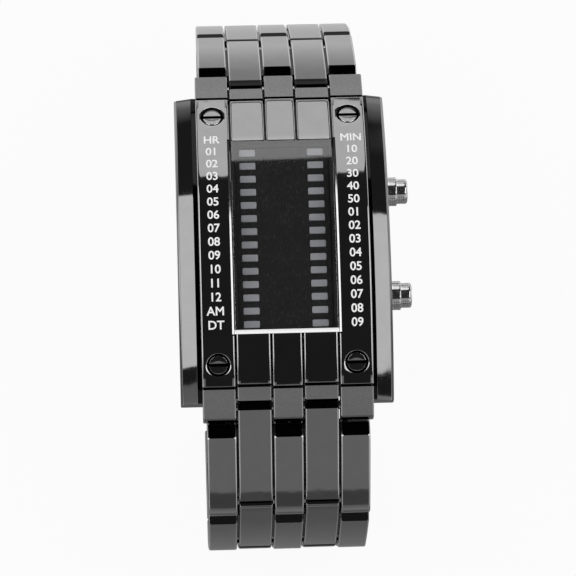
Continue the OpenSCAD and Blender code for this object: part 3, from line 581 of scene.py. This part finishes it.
# The slot for a bright strip, along the window's side of an outer column
def stripSlot(side):
    ys = spread(-plate["slotLong"], plate["slotLong"], 24)
    bed = [(y, plateHeight(y) - plate["slotDeep"]) for y in ys]
    x0, x1 = sorted((side * (outerIn - plate["slotPast"]), side * (outerIn + plate["slotWide"])))
    return barMesh([(ys[0], plate["slotPast"])] + bed + [(ys[-1], plate["slotPast"])], x0, x1)


# Faces in the strip's slot get painted shade
def inStripSlot(centre, normal):
    return abs(centre.x) < outerIn + plate["slotWide"] + slack and abs(centre.y) < plate["slotLong"] + slack


def plateMeshes():
    s, bend, window = screws, plate["bend"], plate["window"]
    spans = columnSpans(columns["plate"])
    lip = s["seat"] + s["lip"]
    hole = [(-s["past"], s["bore"]), (s["boreTop"], s["bore"]), (s["boreTop"], s["well"]),
            (s["cone"], s["well"]), (s["coneTop"], s["seat"]), (s["lipTop"], lip), (s["past"], lip)]
    out = []
    for name, side in (("left", -1), ("right", 1)):
        x = side * s["x"]
        bm = column(plateOutline(-bend, bend), *spans[name], plate["soft"], crown=plate["crown"])
        cutters = [lathe(hole, 64, screwPlace(end, x)) for end in (1, -1)] + [stripSlot(side)]
        tests = [seatTests(end, x) for end in (1, -1)]
        # Painted highlight on the rims, screw lips and column ends; painted shade in the screw seats, the
        # notch and the strip's slot
        mesh = paintRimHighlight(carved(meshOf(bm), cutters), plate["highlightPaint"])
        flagged(mesh, "rim", lambda c, n: any(onLip(c, n) for inSeat, onLip in tests), s["highlightPaint"])
        flagged(mesh, "rim", endHighlight)
        paintShade(mesh, lambda c, n: any(inSeat(c, n) for inSeat, onLip in tests))
        paintShade(mesh, inNotch)
        out.append(paintShade(mesh, inStripSlot))
    beyondWindow = ((window, bend), (-bend, -window))
    for name in ("midLeft", "centre", "midRight"):
        for start, end in beyondWindow:
            outline = plateOutline(start, end, short=0 if name == "centre" else plate["midShort"])
            bm = column(outline, *spans[name], plate["soft"], crown=plate["crown"])
            # The short columns get a painted highlight on their rims and ends, and painted shade in the notch
            mesh = flagged(paintRimHighlight(meshOf(bm), plate["highlightPaint"]), "rim", endHighlight)
            out.append(paintShade(mesh, inNotch))
    # The groove floors are painted black as shade
    for x0, x1 in grooveSpans:
        for start, end in beyondWindow:
            outline = plateOutline(start, end, columns["groove"], plate["midShort"])
            out.append(paintShade(barMesh(outline, x0, x1)))
    return out


bezel = joined(plateMeshes(), "bezel_plate_shape")
bezel.transform(caseFrame)
piece("bezel_plate_columns", bezel, "case", "dark_metal", stands=("bezel_plate",))


def screwMeshes():
    s = screws
    profile = [(s["end"], 0), (s["end"], s["thread"] - s["tip"]), (s["end"] + s["tip"], s["thread"]),
               (s["under"], s["thread"]), (s["under"], s["head"]), (s["top"] - s["chamfer"], s["head"]),
               (s["top"], s["head"] - s["chamfer"]), (s["top"], 0)]
    slot = boxMesh((s["top"] - s["slotDeep"], -s["slotWide"] / 2, -s["past"]),
                   (s["past"], s["slotWide"] / 2, s["past"]))
    rimLow = s["top"] - s["floorDeep"]
    out = []
    for side in (1, -1):
        for x in (-s["x"], s["x"]):
            mesh = softened(carved(lathe(profile, 64, None, "screw", 12), [slot.copy()]), s["soft"], 40)
            # The head's chamfered rim gets a painted highlight, and the slot painted shade
            flagged(mesh, "rim", lambda c, n: s["rimLean"] < n.x < flatAt and c.x > rimLow, s["highlightPaint"])
            paintShade(mesh, lambda c, n: n.x < s["rimLean"] or c.x < rimLow)
            mesh.transform(caseFrame @ screwPlace(side, x))
            out.append(mesh)
    return out


piece("bezel_screws_turned", joined(screwMeshes(), "bezel_screws_shape"), "case", slotOf["bezel_screws"],
      "dark_metal", ("bezel_screws",))
print("bezel plate built")

# Bracelet: bars' places from the frame, all links of one shape. A middle column is painted black as shade
# before its front, which lies further out on link_low_2, because the bent joint hides less of it there.
link = dict(top=2.3, under=2, pitch=17.2, round=2.6, gap=0.25, crown=90, bevelAt=4.35, bevelAngle=44,
            lift=0.2, bore=0.8, soft=0.3, corner=0.42, midCutAt=-0.6, midFacet=(0.7, 1.5), farFacet=(1, 2.3),
            highlightPaint=0.3, bevelLean=(0.5, 0.3), wall=0.4, overlap=0.05, front=-0.4)
otherShadeEnds = dict(link_low_2=-1.6)
crownMid = link["top"] - math.sqrt(link["crown"] ** 2 - link["pitch"] ** 2 / 4)
rise = math.tan(math.radians(link["bevelAngle"]))
hollow = link["round"] + link["gap"]


def crownHeight(s):
    return crownMid + math.sqrt(link["crown"] ** 2 - (s - link["pitch"] / 2) ** 2)


def bevelHeight(s):
    return link["top"] + link["lift"] + (s - link["bevelAt"]) * rise


# Where a quantity changes sign between two numbers
def crossing(test, low, high):
    for _ in range(50):
        middle = (low + high) / 2
        if (test(low) > 0) == (test(middle) > 0):
            low = middle
        else:
            high = middle
    return low


def angleAt(radius, height):
    return math.degrees(math.asin(height / radius))


bevelTop = crossing(lambda s: bevelHeight(s) - crownHeight(s), 3, 6)
bevelLow = crossing(lambda s: math.hypot(s, bevelHeight(s)) - hollow, 1, 4)


def crownLine(start, end):
    return [(s, crownHeight(s)) for s in spread(start, end, 12)]


def farOutline():
    pitch, radius, under = link["pitch"], link["round"], -link["under"]
    last = crossing(lambda s: math.hypot(s - pitch, crownHeight(s)) - radius, pitch, pitch + radius)
    return (arc((0, 0), hollow, angleAt(hollow, under), angleAt(hollow, bevelHeight(bevelLow)))
            + crownLine(bevelTop, last)
            + arc((pitch, 0), radius, angleAt(radius, crownHeight(last)), angleAt(radius, under))[1:])


def midOutline():
    pitch, radius, under = link["pitch"], link["top"], -link["under"]
    bite = radius + link["gap"]
    last = crossing(lambda s: math.hypot(s - pitch, crownHeight(s)) - bite, pitch - bite, pitch)
    return (arc((0, 0), radius, 180 - angleAt(radius, under), 90)
            + crownLine(0, last)[1:]
            + arc((pitch, 0), bite, 180 - angleAt(bite, crownHeight(last)), 180 - angleAt(bite, under))[1:])


# Small facets at the two front corners of a column
def cornerCuts(x0, x1, s, height, facet):
    size, (forward, up) = link["corner"], facet
    return [((x0 + size, s, height), (-1, -forward, up)), ((x1 - size, s, height), (1, -forward, up))]


def onBevel(centre, normal):
    forward, up = link["bevelLean"]
    return centre.y < bevelTop and normal.y < -forward and normal.z > up


def linkMeshes(front):
    out = []
    for name, (x0, x1) in columnSpans(columns["link"]).items():
        if name.startswith("mid"):
            cuts = cornerCuts(x0, x1, link["midCutAt"], link["top"], link["midFacet"])
            bm = column(midOutline(), x0, x1, link["soft"], (0, 0, link["bore"]), cuts)
            # The middle column: a painted highlight on its rims and painted shade before its front
            mesh = paintRimHighlight(meshOf(bm), link["highlightPaint"])
            out.append(paintShade(mesh, lambda c, n: c.y < front and abs(n.x) < flatAt))
        else:
            cuts = cornerCuts(x0, x1, bevelTop, crownHeight(bevelTop), link["farFacet"])
            bm = column(farOutline(), x0, x1, link["soft"], (link["pitch"], 0, link["bore"]), cuts)
            # The far columns: a painted highlight on their rims and painted shade on the bevel
            out.append(paintShade(paintRimHighlight(meshOf(bm), link["highlightPaint"]), onBevel))
    wall, overlap = link["wall"], link["overlap"]
    start, end = hollow + wall, link["pitch"] - link["top"] - link["gap"] - wall
    low, high = wall - link["under"], link["top"] - columns["groove"]
    # Groove floors painted black as shade
    for x0, x1 in grooveSpans:
        out.append(paintShade(boxMesh((x0 - overlap, start, low), (x1 + overlap, end, high))))
    return out


def barAt(node):
    low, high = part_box(node)
    return (low + high) / 2


def linkFrame(side, here, there):
    run, drop = (there.y - here.y) * side, here.z - there.z
    slope = math.degrees(math.atan2(drop, run))
    return Matrix.Translation((0, here.y, here.z)) @ turned(0 if side > 0 else 180, "Z") @ turned(-slope, "X")


for side, word in ((1, "high"), (-1, "low")):
    bars = [barAt("lug_bar_" + word)] + [barAt("link_bar_%s_%d" % (word, i)) for i in (1, 2, 3, 4)]
    for i in range(4):
        node = "link_%s_%d" % (word, i + 1)
        mesh = joined(linkMeshes(otherShadeEnds.get(node, link["front"])), "link_shape")
        mesh.transform(linkFrame(side, bars[i], bars[i + 1]))
        piece(node + "_columns", mesh, bodyOf[node], slotOf[node], stands=(node,))
print("links built")

# Case: wings, core with the module space, and the lug ends. A wing's top runs down from radius inner beside
# the plate to outer and edge at its rim.
case = dict(wide=35.8, half=26.7, thick=13, inner=55.8, outer=54.9, edge=54.5, strip=0.8, bevel=0.4,
            ease=0.06, endBevel=0.75, endDrop=0.55, pocketX=12.6, pocketY=19.3, roof=0.9, ledge=0.7,
            backX=13.9, backY=23.4, backDeep=0.7, lugReach=3.65, endLean=0.9, soft=0.02, below=-20, above=5)
lugBar = barAt("lug_bar_high") - caseAt


def wingOutline(radius, ends=0.0):
    half = case["half"] - ends
    bottom = -case["thick"] + ends
    flat = half - case["endBevel"]
    top = [(y, math.sqrt(radius ** 2 - y * y) - plate["radius"]) for y in spread(-flat, flat, 40)]
    near = top[0][1] - case["endDrop"]
    return [(-half, bottom), (-half, near)] + top + [(half, near), (half, bottom)]


def wingMesh(side):
    bm = bmesh.new()
    inner, half, ease = columns["plate"] / 2, case["wide"] / 2, case["ease"]
    groove, bevel = inner + case["strip"], half - case["bevel"]
    rows = [(inner, case["inner"], 0), (groove - ease, case["inner"], 0), (groove, case["inner"] - 0.01, 0),
            (groove + ease, case["inner"] - 0.03, 0), (bevel - ease, case["outer"] + 0.02, 0),
            (bevel + ease / 2, case["outer"] - 0.02, 0), (half - 0.08, case["edge"] + ease, 0.02),
            (half, case["edge"] - ease, 0.12)]
    rings = [ringOf(bm, x * side, wingOutline(r, e)) for x, r, e in rows]
    stitch(bm, rings)
    capEnd(bm, rings[0])
    capEnd(bm, rings[-1])
    # The flat strip beside the plate is painted black as shade
    return paintShade(meshOf(bm), lambda c, n: abs(c.x) < groove - ease / 2 and n.z > 0.5)


def coreMesh():
    bend, soft, below = plate["bend"], case["soft"], case["below"]
    pocketX, pocketY, backX, backY = case["pocketX"], case["pocketY"], case["backX"], case["backY"]
    top = [(y, plateHeight(y, plate["thick"])) for y in spread(-bend, bend, 40)]
    outline = [(-bend, -case["thick"])] + top + [(bend, -case["thick"])]
    half = columns["plate"] / 2
    body = barMesh(outline, -half, half, soft)
    roof = [(y, plateHeight(y, plate["thick"] + case["roof"])) for y in spread(-pocketY, pocketY, 24)]
    pocket = barMesh([(-pocketY, below)] + roof + [(pocketY, below)], -pocketX, pocketX, soft)
    wellX, wellY = outerIn - case["ledge"], plate["window"] - case["ledge"]
    well = boxMesh((-wellX, -wellY, below), (wellX, wellY, case["above"]))
    back = boxMesh((-backX, -backY, below), (backX, backY, -case["thick"] + case["backDeep"]))
    return carved(body, [pocket, well, back])


def lugOutline(reach, top, radius, hollowed=True):
    ends = [angleAt(radius, height) for height in (top, -link["under"])]
    if hollowed:
        ends = [180 - a for a in ends]
    return [(-reach, -link["under"]), (-reach, top)] + arc((0, 0), radius, *ends)


def lugMeshes():
    reach, top = case["lugReach"], link["top"]
    far = lugOutline(reach, top, link["round"], False)
    mid = lugOutline(reach + plate["midShort"], top, hollow)
    floor = lugOutline(reach, top - columns["groove"], hollow + link["overlap"])
    out = []
    for name, (x0, x1) in columnSpans(columns["plate"]).items():
        if name.startswith("mid"):
            bm = column(mid, x0, x1, plate["soft"])
        else:
            bm = column(far, x0, x1, plate["soft"], (0, 0, link["bore"]))
        # A painted highlight on the rims, and painted shade on the back faces and the groove floors
        mesh = paintRimHighlight(meshOf(bm), link["highlightPaint"])
        out.append(paintShade(mesh, lambda c, n: c.y < -reach and n.y < -case["endLean"]))
    out += [paintShade(barMesh(floor, x0, x1)) for x0, x1 in grooveSpans]
    placed = []
    for turn in (0, 180):
        where = turned(turn, "Z") @ Matrix.Translation((0, lugBar.y, lugBar.z)) @ turned(-plate["slope"], "X")
        for mesh in out:
            copy = mesh.copy()
            copy.transform(where)
            placed.append(copy)
    return placed


caseShape = joined([wingMesh(1), wingMesh(-1), coreMesh()] + lugMeshes(), "case_body_shape")
caseShape.transform(caseFrame)
piece("case_body_shell", caseShape, "case", "dark_metal", stands=("case_body",))
print("case built")

# Crystal, with a step ground along its lower end for a bright strip
crystal = dict(radius=78, drop=0.75, thick=1.5, halfX=8.665, halfY=16.69, soft=0.25, step=0.85, gap=0.015,
               cutX=10, cutY=18, cutTop=1)
strips = dict(side=0.3, sideDrop=0.12, sideOut=0.36, low=0.78, lowDrop=0.285, under=0.05, lift=0.01)


def crystalHeight(y, under=0.0):
    return math.sqrt((crystal["radius"] - under) ** 2 - y * y) - crystal["radius"] - crystal["drop"]


def crystalMesh():
    halfX, cutX, cutY, cutTop = (crystal[key] for key in ("halfX", "cutX", "cutY", "cutTop"))
    ys = spread(-crystal["halfY"], crystal["halfY"], 30)
    inner = [(y, crystalHeight(y, crystal["thick"])) for y in reversed(ys)]
    outline = [(y, crystalHeight(y)) for y in ys] + inner
    lens = meshOf(column(outline, -halfX, halfX, crystal["soft"], rounds=2))
    lowAt = strips["low"] + crystal["gap"] - plate["window"]
    bed = [(y, crystalHeight(y) - crystal["step"]) for y in spread(-cutY, lowAt, 6)]
    return carved(lens, [barMesh([(-cutY, cutTop)] + bed + [(lowAt, cutTop)], -cutX, cutX)])


shape = crystalMesh()
shape.transform(caseFrame)
piece("crystal_lens", shape, "case", "crystal", stands=("crystal",))


# Bright strips on both sides of the window and along its lower end
def stripsMesh():
    bm = bmesh.new()
    x, y = outerIn + strips["sideOut"], plate["window"] - crystal["gap"]
    innerX, innerY = x - strips["side"], strips["low"] - plate["window"]
    lowX = outerIn - crystal["gap"]

    def crest(at):
        return plateHeight(at) - strips["under"]

    def bed(at):
        return crystalHeight(at) - crystal["step"] + strips["lift"]

    def prism(stations):
        rings = [[bm.verts.new(Vector(p) * mm) for p in station] for station in stations]
        stitch(bm, rings)
        bm.faces.new(rings[0])
        bm.faces.new(rings[-1])

    for side in (-1, 1):
        prism([[(side * x, at, crest(at)), (side * innerX, at, crest(at) - strips["sideDrop"]),
                (side * innerX, at, bed(at)), (side * x, at, bed(at))] for at in spread(-y, y, 24)])
    prism([[(at, -y, crest(y)), (at, innerY, crest(y) - strips["lowDrop"]), (at, innerY, bed(innerY)),
            (at, -y, bed(-y))] for at in (-lowX, lowX)])
    return meshOf(bm, caseFrame, crisp=15)


piece("window_strips", stripsMesh(), "case", "dark_metal", "rim_steel", weighted=False)

# Display: lens bars with rounded corners, through the black mask
leds = dict(rows=14, x=5.73, first=15.18, pitch=2.291, long=2.7, wide=1.2, top=-4.7, low=-6.9, corner=0.22,
            soft=0.1, ease=0.03)


def ledOutline(x, y, shrink):
    halfX, halfY, r = leds["long"] / 2 - shrink, leds["wide"] / 2 - shrink, leds["corner"]
    outline = []
    for right, up, start in ((1, 1, 0), (-1, 1, 90), (-1, -1, 180), (1, -1, 270)):
        outline += arc((x + right * (halfX - r), y + up * (halfY - r)), r, start, start + 90, 22.5)
    return outline


def ledMesh():
    bm = bmesh.new()
    top, soft, ease = leds["top"], leds["soft"], leds["ease"]
    for side in (-1, 1):
        for row in range(leds["rows"]):
            x, y = side * leds["x"], leds["first"] - row * leds["pitch"]
            rings = []
            for z, shrink in ((leds["low"], 0), (top - soft, 0), (top - ease, ease), (top, soft)):
                points = ledOutline(x, y, shrink)
                rings.append([bm.verts.new((px * mm, py * mm, z * mm)) for px, py in points])
            stitch(bm, rings)
            bm.faces.new(rings[0])
            bm.faces.new(rings[-1])
    return meshOf(bm, caseFrame)


piece("led_lenses", ledMesh(), "case", "led_lens", stands=("led_bars",))

# Legends: the hours, minutes and two settings, printed on the outer columns. Thick and bold are shares of the
# type's own size.
legends = dict(x=11.75, first=14.9, pitch=2.33, high=1.5, proud=0.02, thick=0.004, bold=0.017,
               left=["HR"] + ["%02d" % n for n in range(1, 13)] + ["AM", "DT"],
               right=["MIN"] + ["%d0" % n for n in range(1, 6)] + ["%02d" % n for n in range(1, 10)])


def letterMesh(words):
    curve = bpy.data.curves.new("legend", "FONT")
    curve.body, curve.align_x, curve.align_y, curve.resolution_u = words, "CENTER", "CENTER", 4
    curve.size, curve.extrude, curve.bevel_depth = 1, legends["thick"], legends["bold"]
    return evaluated(shown("legend", curve))


def reachOf(mesh, axis):
    found = [v.co[axis] for v in mesh.vertices]
    return max(found) - min(found)


def legendMesh():
    digit = letterMesh("0")
    high = reachOf(digit, 1)
    scale, flatten = legends["high"] * mm / high, legends["proud"] * mm / reachOf(digit, 2)
    outwards = (plate["radius"] + legends["proud"] / 2) * mm
    made = []
    for x, words in ((-legends["x"], legends["left"]), (legends["x"], legends["right"])):
        for row, word in enumerate(words):
            along = legends["first"] + (1 - row) * legends["pitch"]
            mesh = letterMesh(word)
            low = min(v.co.y for v in mesh.vertices)
            mesh.transform(Matrix.Translation((0, -low - high / 2, 0)))
            mesh.transform(Matrix.Diagonal((scale, scale, flatten, 1)))
            turn = turned(-math.degrees(along / plate["radius"]), "X")
            mesh.transform(Matrix.Translation((0, 0, -plate["radius"] * mm)) @ turn
                           @ Matrix.Translation((x * mm, 0, outwards)))
            made.append(mesh)
    out = joined(made, "legends")
    out.transform(caseFrame)
    return out


piece("bezel_numerals", legendMesh(), "case", "dark_metal", "print", weighted=False)
print("window, display and legends built")

# Pushers: a turned head in a turned collar, both with fine ring lines, and a groove for the clip on the stem
pusher = dict(y=9.1, z=-9.2, wall=17.9, collar=2.45, collarEnd=19.5, bore=2.16, cup=18.2, head=2.1,
              headIn=19.05, tip=21.35, stem=0.9, stemIn=11.8, clipIn=12.15, clipOut=12.45, clipStem=0.6,
              tube=1.5, tubeIn=12.5, tubeBore=0.96, ring=0.06, ringWide=0.08, headRings=(19.75, 20.8),
              collarRings=(18.25, 19.2), headEase=0.08, headRound=0.42, dimple=1.1, dimpleLow=0.9,
              dimpleDeep=0.05, collarRound=0.16, lipEase=0.06, fit=0.02)


# Three shallow grooves between start and end
def ringed(start, end, radius):
    wide, deep = pusher["ringWide"], pusher["ring"]
    points = []
    for i in range(3):
        x = start + (end - start) * (i + 0.5) / 3
        points += [(x - wide, radius), (x - wide / 3, radius - deep), (x + wide / 3, radius - deep),
                   (x + wide, radius)]
    return points


def rounded(x, radius, size):
    turns = [math.radians(a) for a in (0, 30, 60, 90)]
    return [(x - size * (1 - math.sin(a)), radius - size * (1 - math.cos(a))) for a in turns]


def pusherMeshes(side):
    p = pusher
    where = caseFrame @ Matrix.Translation((0, side * p["y"] * mm, p["z"] * mm))
    head = ([(p["stemIn"], 0), (p["stemIn"], p["stem"]), (p["clipIn"], p["stem"]),
             (p["clipIn"], p["clipStem"]), (p["clipOut"], p["clipStem"]), (p["clipOut"], p["stem"]),
             (p["headIn"], p["stem"]), (p["headIn"], p["head"] - p["headEase"]),
             (p["headIn"] + p["headEase"], p["head"])]
            + ringed(*p["headRings"], p["head"]) + rounded(p["tip"], p["head"], p["headRound"])
            + [(p["tip"], p["head"] - p["headRound"]), (p["tip"], p["dimple"]),
               (p["tip"] - p["dimpleDeep"], p["dimpleLow"]), (p["tip"] - p["dimpleDeep"], 0)])
    collar = ([(p["tubeIn"], p["tubeBore"]), (p["tubeIn"], p["tube"]), (p["wall"] - p["fit"], p["tube"]),
               (p["wall"] - p["fit"], p["collar"])]
              + ringed(*p["collarRings"], p["collar"])
              + rounded(p["collarEnd"], p["collar"], p["collarRound"])
              + [(p["collarEnd"], p["bore"] + p["lipEase"]), (p["collarEnd"] - p["lipEase"], p["bore"]),
                 (p["cup"], p["bore"]), (p["cup"], p["tubeBore"]), (p["tubeIn"], p["tubeBore"])])
    return lathe(head, 72, where, "pusher_head", 30), lathe(collar, 72, where, "pusher_collar", 30)


for side, word in ((1, "upper"), (-1, "lower")):
    head, collar = pusherMeshes(side)
    piece("pusher_%s_head" % word, head, word + "_pusher", "pusher_metal", stands=("pusher_" + word,))
    piece("pusher_%s_collar" % word, collar, "case", slotOf["pusher_tube_" + word], "pusher_metal",
          ("pusher_tube_" + word,))
print("pushers built")

# The other nodes in sight keep the CAD shape, with rounded edges
softEdges = dict(case_back=0.2, case_back_screws=0.08, clasp_cover=0.25, clasp_inner_blade=0.12,
                 clasp_middle_blade=0.12, clasp_button_left=0.15, clasp_button_right=0.15,
                 clasp_fold_pin_low=0.1, clasp_fold_pin_high=0.1, lug_bar_high=0.12, lug_bar_low=0.12)
softEdges.update({"link_bar_%s_%d" % (word, i): 0.12 for word in ("high", "low") for i in (1, 2, 3, 4)})
for node, width in softEdges.items():
    dressed(node, width)

# The rest keep their CAD mesh and get a finish
for node, solid in nodes.items():
    if not solid.hide_render:
        for place in solid.material_slots:
            place.material = finishes[slotOf[node]]
print("other nodes finished")

# Floor: pale paper, white to the camera. The metal sees painted shade on it at the 6 o'clock side, a grey
# card that only reflections show, and bands of light at both, by distance in m.
ground = dict(half=3, paper=(0.86, 0.83), shadeCard=0.4, shadeCardAt=0.6, shadeCardFall=20, white=0.94, mirror=0.12,
              bands=0.85, bandLight=1.6)
highBand = ((0.03, 0), (0.06, 0.1), (0.085, 0.42), (0.11, 0.66), (0.15, 0.35), (0.2, 0.08), (0.3, 0))
lowBand = ((0.035, 0), (0.045, 0.25), (0.055, 0.12), (0.07, 0))
f = Finish(bpy.data.materials.new("floor"))
seen = f.node("ShaderNodeLightPath", output="Is Camera Ray")
mirrored = f.node("ShaderNodeLightPath", output="Is Glossy Ray")
through = f.node("ShaderNodeLightPath", output="Is Transmission Ray")
paperColor = f.blend(f.noise(30, 3), *(grey(tone) for tone in ground["paper"]))
along = f.node("ShaderNodeSeparateXYZ", None, {0: f.node("ShaderNodeTexCoord", output="Object")}, "Y")
shadeCard = mirrored * f.ramp(ground["shadeCardAt"] - along * ground["shadeCardFall"], (0, 0), (1, 1))
glowing = mirrored * (f.ramp(along, *highBand) + f.ramp(0 - along, *lowBand))
white = (seen + through) * ground["white"] + (mirrored - shadeCard) * ground["mirror"] + glowing * ground["bands"]
paper = f.node("ShaderNodeBsdfDiffuse", None, {"Color": f.blend(shadeCard, paperColor, grey(ground["shadeCard"]))})
light = f.blend(glowing, grey(1.0), grey(ground["bandLight"]))
glow = f.node("ShaderNodeEmission", None, {"Color": light, "Strength": 1.0})
above = f.node("ShaderNodeMixShader", None, {"Fac": white, 1: paper, 2: glow})
below = f.node("ShaderNodeNewGeometry", output="Backfacing")
clear = f.node("ShaderNodeBsdfTransparent")
f.surface(f.node("ShaderNodeMixShader", None, {"Fac": below, 1: above, 2: clear}))
bm = bmesh.new()
bmesh.ops.create_grid(bm, x_segments=1, y_segments=1, size=ground["half"])
floorMesh = filled(bm, "floor")
floorMesh.materials.append(f.owner)
floor = shown("floor", floorMesh)

# World: a dim sky that fades with height, brighter behind 12 o'clock and to both sides, for the rims
sky = dict(behind=0.6, before=0.33, turn=0.1, high=0.035, rise=0.08, dark=0.28, sides=1.3, sidesDark=0.45,
           sidesFrom=0.3, sidesFull=0.5)
scene.world = bpy.data.worlds.new("studio")
w = Finish(scene.world)
direction = w.node("ShaderNodeTexCoord", output="Generated")
across, along, height = (w.node("ShaderNodeSeparateXYZ", None, {0: direction}, axis) for axis in "XYZ")
sideways = w.ramp(across * across, (sky["sidesFrom"], 0), (sky["sidesFull"], sky["sides"]))
level = (w.ramp(height, (sky["rise"], 1), (sky["dark"], 0))
         * w.ramp(along, (0, sky["before"]), (sky["turn"], sky["behind"]))
         + w.ramp(height, (sky["rise"], 1), (sky["sidesDark"], 0)) * sideways + sky["high"])
seen = w.node("ShaderNodeLightPath", output="Is Camera Ray")
w.surface(w.node("ShaderNodeBackground", None, {"Color": w.blend(seen, level, grey(1.0)), "Strength": 1.0}))

# Soft lamps around the watch: tilt is toward 12 o'clock and side toward the pushers, in degrees from overhead
lamps = dict(back=dict(tilt=52.85, side=0, away=0.6, wide=0.3, deep=0.343, level=1.4, shape="ELLIPSE"),
             low=dict(tilt=78, side=0, away=0.6, wide=0.3, deep=0.17, level=0.62),
             left=dict(tilt=1.5, side=-36, away=0.7, wide=0.78, deep=0.43, level=1.6),
             right=dict(tilt=-3.5, side=36, away=0.7, wide=0.7, deep=0.43, level=1.6),
             front=dict(tilt=-57.15, side=0, away=0.6, wide=0.8, deep=0.318, level=0.36),
             frontGap=dict(tilt=-74.2, side=0, away=0.6, wide=0.8, deep=0.046, level=0.11),
             frontLow=dict(tilt=-80.5, side=0, away=0.6, wide=0.8, deep=0.084, level=0.25),
             frontLeft=dict(tilt=-45.5, side=-40, away=0.7, wide=0.36, deep=0.36, level=0.3),
             frontRight=dict(tilt=-50.5, side=40, away=0.7, wide=0.36, deep=0.36, level=0.3))
for name, lamp in lamps.items():
    data = bpy.data.lights.new(name, "AREA")
    data.shape, data.size, data.size_y = lamp.get("shape", "RECTANGLE"), lamp["wide"], lamp["deep"]
    area = lamp["wide"] * lamp["deep"] * (math.pi / 4 if data.shape == "ELLIPSE" else 1)
    data.energy = lamp["level"] * math.pi * area
    panel = shown(name, data)
    away = turned(lamp["side"], "Y") @ turned(-lamp["tilt"], "X") @ Vector((0, 0, lamp["away"]))
    panel.matrix_world = Matrix.Translation(caseAt + away) @ away.to_track_quat("Z", "Y").to_matrix().to_4x4()
    panel.visible_camera = False
print("floor, world and lamps set")
